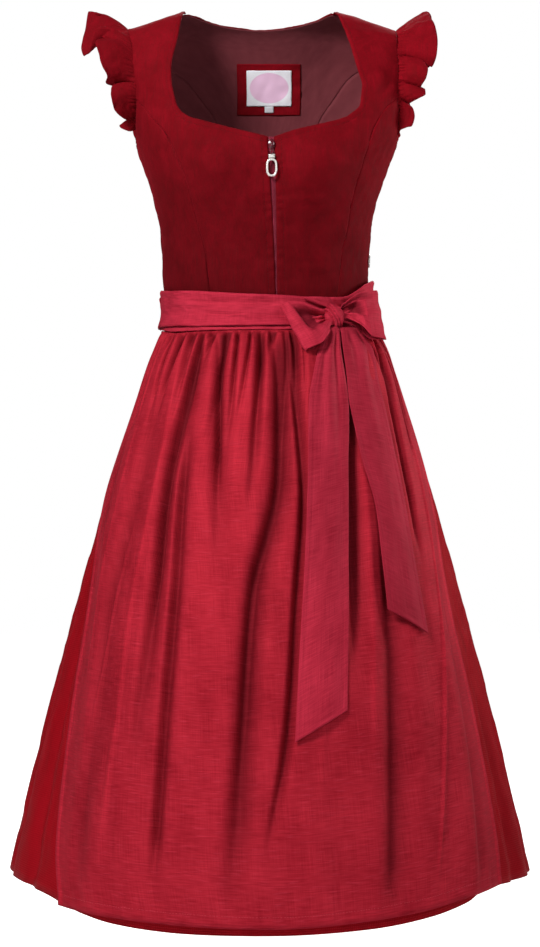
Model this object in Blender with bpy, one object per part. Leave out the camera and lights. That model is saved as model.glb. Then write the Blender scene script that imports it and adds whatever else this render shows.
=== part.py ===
"""A dirndl: velvet bodice with shoulder ruffles and a front zip, gathered skirt, apron tied in a bow.

Sizes are millimetres until a piece is finished, when its mesh is scaled to metres.
X runs to the viewer's right, -Y is the front and Z is up.
The origin is on the shoulder line, midway between the two straps, where a wearer holds the dress up.

Every piece is cut flat as a pattern whose three coordinates are an angle round the figure in degrees
(0 at the front, 90 at the viewer's right, 180 at the back), a level in mm below the shoulder line, and
a distance out from the figure in mm. The pattern is thickened to a wall and then laid on the figure.
"""
import math

import bmesh
import bpy
from mathutils import Matrix, Vector

MM = 0.001
SEAM = 0.3
VELVET = 1.5
LINING = 1.0
COTTON = 1.4
TAFFETA = 1.3
PATTERN_MERGE = 0.001
SHARP_ANGLE = 50


# The figure

WAIST = -388
UNDERARM = -175
SHOULDER_SLOPE = 0.32
SHOULDER_FLAT = 97
SHOULDER_SOFTNESS = 3
SLOPE_FADE = 160
BUST_RISE = 11
BUST_SPREAD = 66
BUST_LEVEL = -222
BUST_SIZE = (38, 36)

# level, centre, half width, front depth, back depth, squareness
FIGURE = (
    (0, 0, 205, 0, 0, 3.2),
    (-3, 0.5, 205, 22, 20, 3.2),
    (-12, 1.5, 203, 46, 42, 3.2),
    (-30, 3.5, 198, 66, 60, 3.1),
    (-60, 6, 190, 84, 78, 3.0),
    (-100, 8.5, 181, 98, 90, 2.8),
    (-140, 9, 174.5, 109, 97, 2.6),
    (-175, 8, 168.5, 116, 99, 2.5),
    (-205, 7, 158, 119, 98, 2.4),
    (-244, 6.5, 145.5, 115, 95, 2.3),
    (-283, 6.5, 137, 106, 92, 2.25),
    (-322, 6.5, 134, 99, 90, 2.2),
    (-350, 6.5, 133, 97, 90, 2.2),
    (-388, 7.5, 130.5, 96, 91, 2.2),
    (-413, 9, 137, 103, 98, 2.15),
    (-426, 10.5, 144, 109, 104, 2.1),
    (-452, 12, 156, 120, 116, 2.05),
    (-504, 12, 173.5, 138, 135, 2.0),
    (-634, 12, 213, 178, 176, 2.0),
    (-764, 12, 250, 213, 212, 2.0),
    (-894, 12, 284.5, 245, 244, 2.0),
    (-1024, 12, 316.5, 273, 272, 2.0),
    (-1140, 12, 343, 296, 295, 2.0),
)


class Table:
    """Rows that start with a key; at(key) reads the other columns smoothly, with no overshoot."""

    def __init__(self, rows):
        rows = sorted(rows)
        self.keys = [row[0] for row in rows]
        self.values = [row[1:] for row in rows]
        self.slopes = [self.slope(i) for i in range(len(rows))]

    def step(self, i, column):
        rise = self.values[i + 1][column] - self.values[i][column]
        return rise / (self.keys[i + 1] - self.keys[i])

    def slope(self, i):
        columns = range(len(self.values[0]))
        if i == 0:
            return [self.step(0, c) for c in columns]
        if i == len(self.keys) - 1:
            return [self.step(i - 1, c) for c in columns]
        found = []
        for c in columns:
            before, after = self.step(i - 1, c), self.step(i, c)
            found.append(0.0 if before * after <= 0 else 2 * before * after / (before + after))
        return found

    def at(self, key):
        key = min(max(key, self.keys[0]), self.keys[-1])
        i = 0
        while i < len(self.keys) - 2 and key > self.keys[i + 1]:
            i += 1
        span = self.keys[i + 1] - self.keys[i]
        t = (key - self.keys[i]) / span
        low, high = (1 + 2 * t) * (1 - t) ** 2, t * t * (3 - 2 * t)
        leave, arrive = span * t * (1 - t) ** 2, -span * t * t * (1 - t)
        columns = zip(self.values[i], self.values[i + 1], self.slopes[i], self.slopes[i + 1])
        return [a * low + b * high + ma * leave + mb * arrive for a, b, ma, mb in columns]

    def read(self, key):
        return self.at(key)[0]


RINGS = Table([(z, mid, half, f * f, b * b, power) for z, mid, half, f, b, power in FIGURE])


def ring(level):
    """Centre, half width, front depth, back depth and squareness of the figure at one level."""
    mid, half, front, back, power = RINGS.at(level)
    return mid, half, math.sqrt(max(front, 0)), math.sqrt(max(back, 0)), power


def ease(t):
    t = min(max(t, 0), 1)
    return t * t * (3 - 2 * t)


def shoulder_drop(x, level):
    """How far the sloping shoulder lies below its level, fading out towards the underarm."""
    past = abs(x) - SHOULDER_FLAT
    beyond = (past + math.hypot(past, SHOULDER_SOFTNESS)) / 2
    return SHOULDER_SLOPE * beyond * ease(1 + level / SLOPE_FADE)


def bust(x, level):
    """Forward rise of the two cups."""
    wide, tall = BUST_SIZE
    across = (abs(x) - BUST_SPREAD) / wide
    up = (level - BUST_LEVEL) / tall
    return BUST_RISE * math.exp(-across * across - up * up)


def surface(angle, level):
    """A point of the bare figure."""
    mid, half, front, back, power = ring(level)
    s, c = math.sin(math.radians(angle)), math.cos(math.radians(angle))
    size = (abs(s) ** power + abs(c) ** power) ** (-1 / power)
    x = mid + half * s * size
    y = -c * size * (front if c > 0 else back)
    if c > 0:
        y -= bust(x - mid, level) * ease(c * 2)
    return Vector((x, y, level - shoulder_drop(x, level)))


def tangents(angle, level):
    """Directions to the viewer's right and up along the figure."""
    aside = surface(angle + 0.05, level) - surface(angle - 0.05, level)
    upward = surface(angle, min(level + 0.1, 0)) - surface(angle, level - 0.1)
    return aside.normalized(), upward.normalized()


def wrap(angle, level, out):
    """Lay one point of a flat pattern on the figure."""
    aside, upward = tangents(angle, level)
    return surface(angle, level) + aside.cross(upward).normalized() * out


def spot(x, z, back=False):
    """The angle and level of a point of the figure that is given by its x and its height."""
    level = z
    for _ in range(12):
        level = min(z + shoulder_drop(x, level), 0)
    mid, half, _, _, power = ring(level)
    across = min(max((x - mid) / half, -1), 1)
    inward = (1 - abs(across) ** power) ** (1 / power)
    angle = math.degrees(math.atan2(across, inward))
    return (180 - angle if back else angle), level


# Making a piece

def material(name, colour, roughness, metallic=0.0):
    made = bpy.data.materials.new(name)
    made.use_nodes = True
    shader = made.node_tree.nodes["Principled BSDF"]
    shader.inputs["Base Color"].default_value = (*colour, 1)
    shader.inputs["Roughness"].default_value = roughness
    shader.inputs["Metallic"].default_value = metallic
    return made


def finish(name, bm, finish_name):
    """Turn a closed mesh in millimetres into one named object in metres."""
    bm.normal_update()
    bmesh.ops.recalc_face_normals(bm, faces=bm.faces)
    bmesh.ops.scale(bm, vec=(MM, MM, MM), verts=bm.verts)
    mesh = bpy.data.meshes.new(name)
    bm.to_mesh(mesh)
    bm.free()
    mesh.materials.append(MATERIALS[finish_name])
    mesh.shade_smooth()
    mesh.set_sharp_from_angle(angle=math.radians(SHARP_ANGLE))
    made = bpy.data.objects.new(name, mesh)
    bpy.context.collection.objects.link(made)
    return made


def patch(bm, columns, rows, lay):
    """A grid of faces; lay(s, t) gives the pattern place of a corner, s across and t up, 0 to 1."""
    made = bmesh.ops.create_grid(bm, x_segments=columns, y_segments=rows, size=0.5)
    for vert in made["verts"]:
        vert.co = Vector(lay(vert.co.x + 0.5, vert.co.y + 0.5))
    return made["verts"]


def sew(name, finish_name, wall, bm, place):
    """Thicken a flat pattern inwards, lay it in its place and make it an object."""
    inside = bmesh.ops.extrude_face_region(bm, geom=bm.faces[:], use_keep_orig=True)
    for part in inside["geom"]:
        if isinstance(part, bmesh.types.BMVert):
            part.co.z -= wall
    for vert in bm.verts:
        vert.co = place(*vert.co)
    return finish(name, bm, finish_name)


def cut(name, finish_name, wall, patches, place=wrap):
    """Join patches, each of them columns, rows and a way to lay it, into one piece."""
    bm = bmesh.new()
    for columns, rows, lay in patches:
        patch(bm, columns, rows, lay)
    bmesh.ops.remove_doubles(bm, verts=bm.verts, dist=PATTERN_MERGE)
    return sew(name, finish_name, wall, bm, place)


def route(spots):
    """A smooth line through (angle, level) spots, read from 0 to 1 by its real length."""
    length, rows, last = 0, [], None
    for angle, level in spots:
        here = surface(angle, level)
        if last is not None:
            length += (here - last).length
        rows.append((length, angle, level))
        last = here
    table = Table(rows)
    return lambda t: table.at(t * length)


def shifted(spots, aside):
    """Spots moved sideways by a distance in mm, which leaves a seam its gap."""
    moved = []
    for angle, level in spots:
        per_degree = (surface(angle + 0.5, level) - surface(angle - 0.5, level)).length
        moved.append((angle + aside / per_degree, level))
    return moved


def join(first, second, share):
    """Two lines end to end; the first takes the given share of the columns or rows."""
    return lambda t: first(t / share) if t <= share else second((t - share) / (1 - share))


def fill(bottom, top, left, right, out=0.0):
    """The patch between four edges that meet at their ends."""
    corners = bottom(0), bottom(1), top(0), top(1)

    def lay(s, t):
        edges = zip(bottom(s), top(s), left(t), right(t), *corners)
        place = []
        for b, u, l, r, c00, c10, c01, c11 in edges:
            blend = (1 - t) * b + t * u + (1 - s) * l + s * r
            place.append(blend - (1 - s) * ((1 - t) * c00 + t * c01) - s * ((1 - t) * c10 + t * c11))
        return (*place, out)

    return lay


# Bodice

SEAM_INSET = 0.22
PANEL_ROWS = 9
STRAP_COLUMNS = 3
CHEST_COLUMNS = 8
STRAP_ROWS = 5
SIDE_COLUMNS = 4
BACK_COLUMNS = 12
BACK_STRAP_ROWS = 3
SHOULDER_TIP = {"left": -172, "right": 175}
NECK_POINT = {"left": -97, "right": 94}
STRAP_ROOT = {"left": (-160, -120), "right": (176, -117)}
NECK_CORNER = {"left": (-99, -146), "right": (110, -152)}
V_POINT = (13.5, -181)

# height, x of the left seam, x of the right seam
FRONT_SEAM = (
    (-146, -139, 153),
    (-176, -117, 140),
    (-225, -96, 124),
    (-280, -80, 111),
    (-322, -69, 103),
    (-388, -61, 97),
)
ARMHOLE_FRONT = (
    (-92, -161, 177),
    (-65, -164, 176.5),
    (-42, -168, 175.5),
)
# how far outside the strap's root and how far below it the armhole runs on the side front
ARMHOLE_LOW = ((1, 20), (1.5, 37))
NECK_SIDE = (
    (-136, -105, 125.5),
    (-112, -111, 128.5),
    (-89, -112, 122),
    (-56, -106, 113),
)
NECK_LOW = {
    "left": ((-87, -154), (-68, -160), (-29, -171)),
    "right": ((98, -157), (65, -166.5), (40, -173)),
}
# height, x of the zip, half width of the opening
ZIP_LINE = (
    (-181, 13.5, 3.0),
    (-235, 16.0, 2.6),
    (-295, 18.5, 1.5),
    (-388, 21.5, 0.6),
)
# height, half spacing of the two back seams
BACK_SEAM = (
    (-56, 139),
    (-70, 113),
    (-97, 90),
    (-126, 70),
    (-170, 58),
    (-230, 50),
    (-300, 44),
    (-388, 40),
)
BACK_SEAM_TOP = (-45, 158)
BACK_ARMHOLE = ((-80, 160), (-120, 165), (-150, 167))
BACK_NECK_LEVEL = -12
BACK_NECK = ((70, -4.5), (38, -9.5))


def side_of(side):
    return -1 if side == "left" else 1


def pick(row, side):
    return row[1] if side == "left" else row[2]


def front_seam(side, aside=0.0):
    """The curved seam of a front, from the waist up to the armhole."""
    points = [(pick(row, side), row[0]) for row in reversed(FRONT_SEAM)] + [STRAP_ROOT[side]]
    return route(shifted([spot(x, z) for x, z in points], aside))


def front_armhole(side):
    """The armhole edge of the strap, from the front seam up to the shoulder tip."""
    points = [STRAP_ROOT[side]] + [(pick(row, side), row[0]) for row in ARMHOLE_FRONT]
    spots = shifted([spot(x, z) for x, z in points], -side_of(side) * SEAM_INSET)
    return route(spots + [tip(side)])


def tip(side, back=False):
    angle = spot(SHOULDER_TIP[side], -SHOULDER_SLOPE * (abs(SHOULDER_TIP[side]) - SHOULDER_FLAT))[0]
    return (180 - angle if back else angle), 0


def neck(side, back=False):
    angle = spot(NECK_POINT[side], 0)[0]
    return (180 - angle if back else angle), 0


def zip_edge(side):
    """The front edge beside the zip, from the waist up to the point of the neckline."""
    sign = side_of(side)
    return route([spot(x + sign * half, z) for z, x, half in reversed(ZIP_LINE)])


def straight(start, end):
    return lambda t: [a + (b - a) * t for a, b in zip(start, end)]


def front_patches(side):
    """A front: the chest from its curved seam to the zip, and the strap up to the shoulder."""
    seam = front_seam(side, -side_of(side) * SEAM_INSET)
    edge = zip_edge(side)
    corner = spot(*NECK_CORNER[side])
    share = STRAP_COLUMNS / CHEST_COLUMNS
    root = straight(seam(1), corner)
    low = route([corner] + [spot(x, z) for x, z in NECK_LOW[side]] + [edge(1)])
    top = join(root, low, share)
    chest = fill(straight(seam(0), edge(0)), top, seam, edge)
    inner = route([corner] + [spot(pick(row, side), row[0]) for row in NECK_SIDE] + [neck(side)])
    ridge = straight(tip(side), neck(side))
    armhole = front_armhole(side)
    strap = fill(root, ridge, armhole, inner)
    return [(CHEST_COLUMNS, PANEL_ROWS, chest), (STRAP_COLUMNS, STRAP_ROWS, strap)]


def side_seam(side, back):
    """The seam under the arm, from the waist up, on its front or its back side."""
    sign = side_of(side)
    angle = 270 if back and side == "left" else 90 * sign
    spots = [(angle, WAIST), (angle, -322), (angle, -244), (angle, UNDERARM)]
    return route(shifted(spots, sign * SEAM_INSET if back else -sign * SEAM_INSET))


def side_front_patches(side):
    seam = front_seam(side, side_of(side) * SEAM_INSET)
    under = side_seam(side, False)
    x, z = STRAP_ROOT[side]
    armhole = [spot(x + side_of(side) * aside, z - down) for aside, down in ARMHOLE_LOW]
    top = route([seam(1)] + armhole + [under(1)])
    return [(SIDE_COLUMNS, PANEL_ROWS, fill(straight(seam(0), under(0)), top, seam, under))]


def back_x(half, z, side):
    return ring(z)[0] + side_of(side) * half


def back_seam(side, aside=0.0):
    """The curved seam of the back, from the waist up to the armhole."""
    rows = list(reversed(BACK_SEAM)) + [BACK_SEAM_TOP]
    return route(shifted([spot(back_x(half, z, side), z, True) for z, half in rows], aside))


def back_patches():
    """The back: one piece between the two curved seams, with both straps."""
    left = join(back_seam("left", -SEAM_INSET), back_armhole_top("left"), back_share())
    right = join(back_seam("right", SEAM_INSET), back_armhole_top("right"), back_share())
    spots = [tip("right", True), neck("right", True)]
    for half, z in BACK_NECK:
        spots.append(spot(half, z, True))
    spots.append((180, BACK_NECK_LEVEL))
    for half, z in reversed(BACK_NECK):
        spots.append(spot(-half, z, True))
    spots += [neck("left", True), tip("left", True)]
    top = route(spots)
    bottom = straight(right(0), left(0))
    return [(BACK_COLUMNS, PANEL_ROWS + BACK_STRAP_ROWS, fill(bottom, top, right, left))]


def back_share():
    return PANEL_ROWS / (PANEL_ROWS + BACK_STRAP_ROWS)


def back_armhole_top(side):
    """The armhole edge of the back strap, from the curved seam up to the shoulder tip."""
    z, half = BACK_SEAM_TOP
    start = spot(back_x(half, z, side), z, True)
    return route([shifted([start], side_of(side) * SEAM_INSET)[0], tip(side, True)])


def side_back_patches(side):
    seam = back_seam(side, -side_of(side) * SEAM_INSET)
    under = side_seam(side, True)
    armhole = [spot(back_x(half, z, side), z, True) for z, half in BACK_ARMHOLE]
    top = route([seam(1)] + armhole + [under(1)])
    return [(SIDE_COLUMNS, PANEL_ROWS, fill(straight(seam(0), under(0)), top, seam, under))]


def keep_front(angle, level, out):
    """Lay a point and keep it in front of the shoulder seam."""
    point = wrap(angle, level, out)
    point.y = min(point.y, -SEAM / 2)
    return point


def keep_back(angle, level, out):
    point = wrap(angle, level, out)
    point.y = max(point.y, SEAM / 2)
    return point


def deeper(place, depth):
    return lambda angle, level, out: place(angle, level, out - depth)


def bodice():
    for side in ("left", "right"):
        cut(f"bodice_front_{side}", "velvet", VELVET, front_patches(side), keep_front)
        cut(f"bodice_side_front_{side}", "velvet", VELVET, side_front_patches(side))
        cut(f"bodice_side_back_{side}", "velvet", VELVET, side_back_patches(side))
        lined = deeper(wrap, VELVET + SEAM)
        cut(f"lining_side_{side}", "lining", LINING, side_back_patches(side), lined)
    cut("bodice_back", "velvet", VELVET, back_patches(), keep_back)
    cut("lining_back", "lining", LINING, back_patches(), deeper(keep_back, VELVET + SEAM))


# Labels inside the back

LABEL_EASE = 1.5
LABEL_BASE = VELVET + LINING + 2 * SEAM + LABEL_EASE
LABEL_WALL = 1.1
# x from, x to, top, bottom, layers below, finish, columns and rows
PATCHES = {
    "label_patch": (-32, 53, -50, -116, 0, "velvet", (4, 3)),
    "label": (-19, 41, -58, -104, 1, "label", (4, 3)),
    "size_tab": (5.5, 17, -104.6, -112.5, 1, "label", (1, 1)),
}


def labels():
    for name, (x0, x1, top, bottom, layers, finish_name, grid) in PATCHES.items():
        depth = LABEL_BASE + layers * (LABEL_WALL + 2 * SEAM)
        corners = [spot(x, z, True) for z in (bottom, top) for x in (x1, x0)]
        low, high = straight(corners[0], corners[1]), straight(corners[2], corners[3])
        lay = fill(low, high, straight(corners[0], corners[2]), straight(corners[1], corners[3]))
        cut(name, finish_name, LABEL_WALL, [(*grid, lay)], deeper(wrap, depth))


# Skirt

SKIRT_TOP = WAIST - SEAM
SKIRT_PULL = 1.3
SKIRT_GATHERS = 28
# angle, hem level
SKIRT_HEM = Table((
    (-90, -1103), (-66, -1103), (-52, -1105), (-43, -1117), (-32, -1125), (-17, -1129), (0, -1130),
    (20, -1128), (32, -1122), (44, -1113), (52, -1103), (66, -1103), (90, -1104),
    (135, -1108), (180, -1111), (225, -1108), (270, -1103),
))
# angle at the waist, angle at the hem, depth, width, level where it starts, level where it is full
BACK_FOLDS = (
    (101, 99, 9, 17, -420, -640),
    (116, 119, 13, 20, -410, -620),
    (131, 134, 10, 15, -440, -700),
    (146, 150, 15, 22, -400, -600),
    (160, 161, 9, 15, -430, -760),
    (176, 175, 14, 20, -405, -610),
    (190, 192, 11, 17, -430, -700),
    (205, 204, 15, 22, -400, -600),
    (221, 219, 10, 16, -440, -720),
    (236, 233, 13, 20, -410, -640),
    (251, 249, 9, 16, -430, -680),
)
SIDE_FOLDS = (
    (-78, -62, 8, 17, -560, -900),
    (-84, -79, 5, 15, -640, -950),
    (80, 67, 8, 18, -560, -900),
    (86, 81, 5, 14, -660, -950),
)
FOLD_TOP, FOLD_FOOT = -388, -1120
SIDE_GAP = 0.1
HEM_MEAN = -1115
GATHER_MERGE = 0.02
FRONT_COLUMNS, FRONT_ROWS = 34, 8
FOOT_ROWS = 7
# share of the rows from the top, share of the height
FOOT_SHARE = Table(((0, 0), (0.25, 0.11), (0.5, 0.33), (0.75, 0.64), (1, 1)))
FRONT_SHARE = Table(((0, 0), (0.125, 0.035), (0.25, 0.08), (0.375, 0.16), (0.625, 0.42), (1, 1)))


def trough(angle, level, rows):
    """How far the folds of a table draw the cloth in at one place."""
    drawn = 0.0
    mid, half, front, back, _ = ring(level)
    per_degree = math.radians((half + (front + back) / 2) / 2)
    for waist_angle, hem_angle, depth, width, start, full in rows:
        down = (level - FOLD_TOP) / (FOLD_FOOT - FOLD_TOP)
        centre = waist_angle + (hem_angle - waist_angle) * down
        away = (angle - centre) * per_degree / width
        if abs(away) < 3:
            drawn += depth * ease((level - start) / (full - start)) * math.exp(-away * away)
    return drawn


def gathered(count, amount):
    """Fine gathers across a patch: up and down at every other of four columns a gather."""
    def wave(s):
        turn = round(s * count * 4)
        return amount * (0.8 + 0.2 * math.sin(turn * 1.7)) * (0, 1, 0, -1)[turn % 4]
    return wave


def gathered_cloth(name, finish_name, wall, gathers, top, drops, angle_at, hem, out):
    """Cloth gathered into a waist seam: a fine patch with the gathers over a coarser one.

    angle_at(drop, s) is the angle of share s of the width at a drop below the top, and out(angle, level)
    is the cloth's distance from the figure. The gathers fade over the drops.
    """
    wave = gathered(*gathers)
    depths = (0,) + drops
    seam = top - drops[-1]

    def upper(s, t):
        drop = depths[round((1 - t) * len(drops))]
        angle, level = angle_at(drop, s), top - drop
        return angle, level, wave(s) * (1 - drop / drops[-1]) + out(angle, level)

    def lower(s, t):
        foot = hem.read(angle_at(top - HEM_MEAN, s))
        level = seam + (foot - seam) * FOOT_SHARE.read(1 - t)
        angle = angle_at(top - level, s)
        return angle, level, out(angle, level)

    bm = bmesh.new()
    count = gathers[0]
    patch(bm, count * 2, FOOT_ROWS, lambda s, t: (s, t, 0))
    rim = [edge for edge in bm.edges if min(vert.co.y for vert in edge.verts) > 1 - PATTERN_MERGE]
    bmesh.ops.subdivide_edges(bm, edges=rim, cuts=1)
    for vert in bm.verts:
        vert.co = Vector(lower(vert.co.x, vert.co.y))
    patch(bm, count * 4, len(drops), upper)
    bmesh.ops.remove_doubles(bm, verts=bm.verts, dist=GATHER_MERGE)
    return sew(name, finish_name, wall, bm, wrap)


def skirt_fold(angle, level):
    """The skirt lies flat under the apron and folds beside and behind it."""
    if angle > 90:
        return -trough(angle, level, BACK_FOLDS)
    left, right = APRON_EDGE.at(-level)
    bare = ease(max(left - angle, angle - right) / 5)
    return -trough(angle, level, SIDE_FOLDS) * bare


def skirt_angle(start):
    """Angles of one half of the skirt, from side seam to side seam."""
    return lambda drop, s: start + SIDE_GAP + (180 - 2 * SIDE_GAP) * s


def skirt_back():
    gathers = (SKIRT_GATHERS, SKIRT_PULL)
    gathered_cloth("skirt_back", "skirt", COTTON, gathers, SKIRT_TOP, (12, 40), skirt_angle(90),
                   SKIRT_HEM, skirt_fold)


def skirt_front():
    """The front is plain under the apron, which hides its gathers."""
    angle_at = skirt_angle(-90)

    def lay(s, t):
        angle = angle_at(0, s)
        level = SKIRT_TOP + (SKIRT_HEM.read(angle) - SKIRT_TOP) * FRONT_SHARE.read(1 - t)
        return angle, level, skirt_fold(angle, level)

    cut("skirt_front", "skirt", COTTON, [(FRONT_COLUMNS, FRONT_ROWS, lay)])


# Apron

BAND_TOP, BAND_FOOT = -380, -421.8
BAND_ANGLE = 87
BAND_OUT = 2.4
BAND_COLUMNS = 30
APRON_EDGE_EASE = 14
APRON_TOP = BAND_FOOT - SEAM
APRON_PULL = 1.3
APRON_GATHERS = 36
# drop below the shoulder line, left edge angle, right edge angle
APRON_EDGE = Table((
    (380, -87, 87), (480, -87, 86), (600, -84, 77), (650, -77, 72), (721, -67.5, 65), (792, -62.5, 62.5),
    (865, -59.8, 62), (943, -56.8, 61), (1051, -52.7, 59), (1115, -48, 56),
))
APRON_HEM = Table((
    (-60, -1109), (-46, -1113), (-17, -1119), (0, -1122.5), (19, -1117), (30, -1112), (44, -1103), (60, -1098),
))
# level, how far the apron may stand off the figure
APRON_LIFT = Table(((-1130, 10), (-1000, 12), (-800, 14), (-600, 14), (-500, 12), (-450, 8), (-422, 3.6)))
APRON_LOW = 3.6
# angles at 425, 600, 750, 900 and 1100 mm, depth, width, start, full from, full to, end
APRON_FOLDS = (
    (-39.5, -35.5, -34, -33, -32, 10, 11, -424, -470, -700, -960),
    (-36, -31, -27, -25, -23.5, 6, 7, -500, -600, -1000, -1090),
    (-24.5, -19.5, -20, -20, -20, 8, 8, -424, -440, -570, -680),
    (-17, -16, -14.5, -14.5, -14.5, 4, 6, -560, -620, -760, -900),
    (-3, -7.5, -9, -9, -9, 6, 8, -424, -450, -560, -700),
    (3.5, 3.5, -4.6, -6, -13, 12, 13, -424, -500, -960, -1110),
    (7, 6.5, 5, 2.7, 1, 5, 7, -500, -560, -900, -1060),
    (11.5, 12.2, 12, 12, 12, 9, 8, -424, -440, -600, -720),
    (37, 29.8, 24.5, 19, 14, 10, 11, -424, -460, -760, -940),
    (50, 41, 35, 30, 27, 6, 16, -600, -740, -1000, -1110),
    (66, 51, 46, 43, 38, 6, 14, -470, -600, -1000, -1110),
    (60, 57, 55, 53, 47, 4, 12, -640, -800, -1020, -1110),
    (-57, -59.5, -60, -60, -60, 6, 9, -424, -450, -540, -680),
    (-49, -48.5, -48, -45.5, -41, 4, 8, -560, -650, -1000, -1100),
)
FOLD_LEVELS = (-425, -600, -750, -900, -1100)


def fold_paths():
    """Each apron fold with its angle as a table of level."""
    paths = []
    for row in APRON_FOLDS:
        path = Table(list(zip(FOLD_LEVELS, row[:5])))
        paths.append((path, *row[5:]))
    return paths


APRON_PATHS = fold_paths()


def apron_out(angle, level):
    """Distance of the apron's outer side from the figure: its lift less its troughs."""
    per_degree = math.radians(sum(ring(level)[1:3]) / 2)
    drawn = 0.0
    for path, depth, width, start, full, lasts, end in APRON_PATHS:
        away = (angle - path.read(level)) * per_degree / width
        if abs(away) < 3:
            there = ease((start - level) / (start - full)) * ease((level - end) / (lasts - end))
            drawn += depth * there * math.exp(-away * away)
    room = APRON_LIFT.read(level) - APRON_LOW
    flat = edge_rest(angle, level)
    return APRON_LOW + max(room - drawn, 0.0) * flat


def edge_rest(angle, level):
    """The apron comes down to the skirt along its two side edges."""
    left, right = APRON_EDGE.at(-level)
    return ease(min(angle - left, right - angle) / APRON_EDGE_EASE)


def apron_angle(drop, s):
    left, right = APRON_EDGE.at(drop - APRON_TOP)
    return left + (right - left) * s


def apron():
    gathers = (APRON_GATHERS, APRON_PULL)
    gathered_cloth("apron", "apron", TAFFETA, gathers, APRON_TOP, (8, 22, 48), apron_angle,
                   APRON_HEM, apron_out)


def apron_band():
    lay = fill(
        straight((-BAND_ANGLE, BAND_FOOT), (BAND_ANGLE, BAND_FOOT)),
        straight((-BAND_ANGLE, BAND_TOP), (BAND_ANGLE, BAND_TOP)),
        straight((-BAND_ANGLE, BAND_FOOT), (-BAND_ANGLE, BAND_TOP)),
        straight((BAND_ANGLE, BAND_FOOT), (BAND_ANGLE, BAND_TOP)),
        BAND_OUT,
    )
    cut("apron_band", "band", TAFFETA, [(BAND_COLUMNS, 1, lay)])


# Ties and bow

KNOT_ANGLE = 36.5
KNOT_LEVEL = -408
# angle, top, bottom; the first tie runs round the back and the left side to the knot
FIRST_TIE = Table((
    (88, -366, -412), (130, -364, -410), (180, -362, -408), (230, -361, -408), (270, -360.5, -409.5),
    (310, -365, -413), (345, -372, -415), (370, -376, -413.5), (391, -380, -414), (399, -382, -414),
))
SECOND_TIE = Table((
    (43, -388, -413), (50, -382, -413), (70, -369, -413), (90, -361, -410), (130, -360, -407), (180, -364, -410),
    (230, -367, -412), (272, -369, -413),
))
FIRST_TIE_OUT = (5.0, 7.2)
SECOND_TIE_OUT = (8.0, 10.0)
# step, angle, level, out, width, lean of the cloth's edge from upright
LEFT_LOOP = Table((
    (0, 32.6, -409.5, 16, 16, 0),
    (1, 27, -414, 24, 34, -8),
    (2, 21, -420, 27, 54, -18),
    (3, 15.5, -426, 26, 63, -24),
    (4, 12, -429, 19, 65, -25),
    (5, 15.5, -426, 13, 62, -24),
    (6, 21, -419, 12.5, 52, -18),
    (7, 27, -413, 12, 30, -8),
    (8, 32.6, -409, 12.5, 13, 0),
))
RIGHT_LOOP = Table((
    (0, 40.6, -407.5, 16, 16, 0),
    (1, 49, -406, 27, 36, 4),
    (2, 55.5, -405, 34, 54, 0),
    (3, 61.5, -404, 36, 63, -4),
    (4, 66, -400, 29, 65, -4),
    (5, 63, -396, 19, 63, 0),
    (6, 56, -398, 15, 50, 4),
    (7, 49.5, -404, 13.5, 30, 2),
    (8, 40.6, -408, 13, 13, 0),
))
LOOP_STEPS = 8
LOOP_ROWS = 5
LOOP_COLUMNS = 18
LOOP_CRUMPLE = 1.6
TIE_COLUMNS = 44
TAIL_COLUMNS, TAIL_ROWS = 5, 14
TAIL_CROWN = 2.5
KNOT_SIZE = (9.4, 8.2, 15)
KNOT_OUT = FIRST_TIE_OUT[1] + KNOT_SIZE[1] + SEAM
# level, left angle, right angle, out
LONG_TAIL = Table((
    (-912, 5.8, 17.4, 17), (-835, 7.2, 20, 17.5), (-730, 9.6, 23.2, 18), (-600, 13, 28, 18),
    (-509, 16.4, 33.3, 17), (-468, 20, 34.3, 16), (-450, 23, 35, 15), (-424, 29.5, 36.7, 15),
))
LONG_TAIL_SLANT = 35
SHORT_TAIL = Table((
    (-795, 34.5, 48.5, 17), (-704, 35.8, 50, 17.5), (-635, 37, 51.8, 18), (-565, 35.2, 52.8, 18),
    (-521, 34.6, 54.2, 17), (-481, 35.6, 55, 16), (-450, 36.9, 53.5, 15), (-424, 36.95, 46, 15),
))
SHORT_TAIL_SLANT = -31


def tie(name, table, first, last, out):
    """A stretch of tie, pulled straight across between its top and bottom edges."""
    def lay(s, t):
        angle = first + (last - first) * s
        top, bottom = table.at(angle)
        return angle, bottom + (top - bottom) * t, out[1] + (out[0] - out[1]) * t

    cut(name, "band", TAFFETA, [(TIE_COLUMNS, 1, lay)])


def on_strip(table):
    """Lay a pattern whose first coordinate is a step along a strip and whose second runs across it."""
    def middle(step, across):
        angle, level, out, width, lean = table.at(step)
        aside, upward = tangents(angle, level)
        edge = upward * math.cos(math.radians(lean)) + aside * math.sin(math.radians(lean))
        free = min(step, LOOP_STEPS - step, 2) / 2
        ripple = LOOP_CRUMPLE * math.sin(across * 3 * math.pi) * free
        return wrap(angle, level, out + ripple) + edge * (width * across / 2)

    def place(step, across, out):
        along = middle(step + 0.02, across) - middle(step - 0.02, across)
        sideways = middle(step, across + 0.02) - middle(step, across - 0.02)
        return middle(step, across) + along.cross(sideways).normalized() * out

    return place


def loop(name, table):
    def lay(s, t):
        return s * LOOP_STEPS, 2 * t - 1, TAFFETA / 2

    cut(name, "band", TAFFETA, [(LOOP_COLUMNS, LOOP_ROWS, lay)], on_strip(table))


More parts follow.
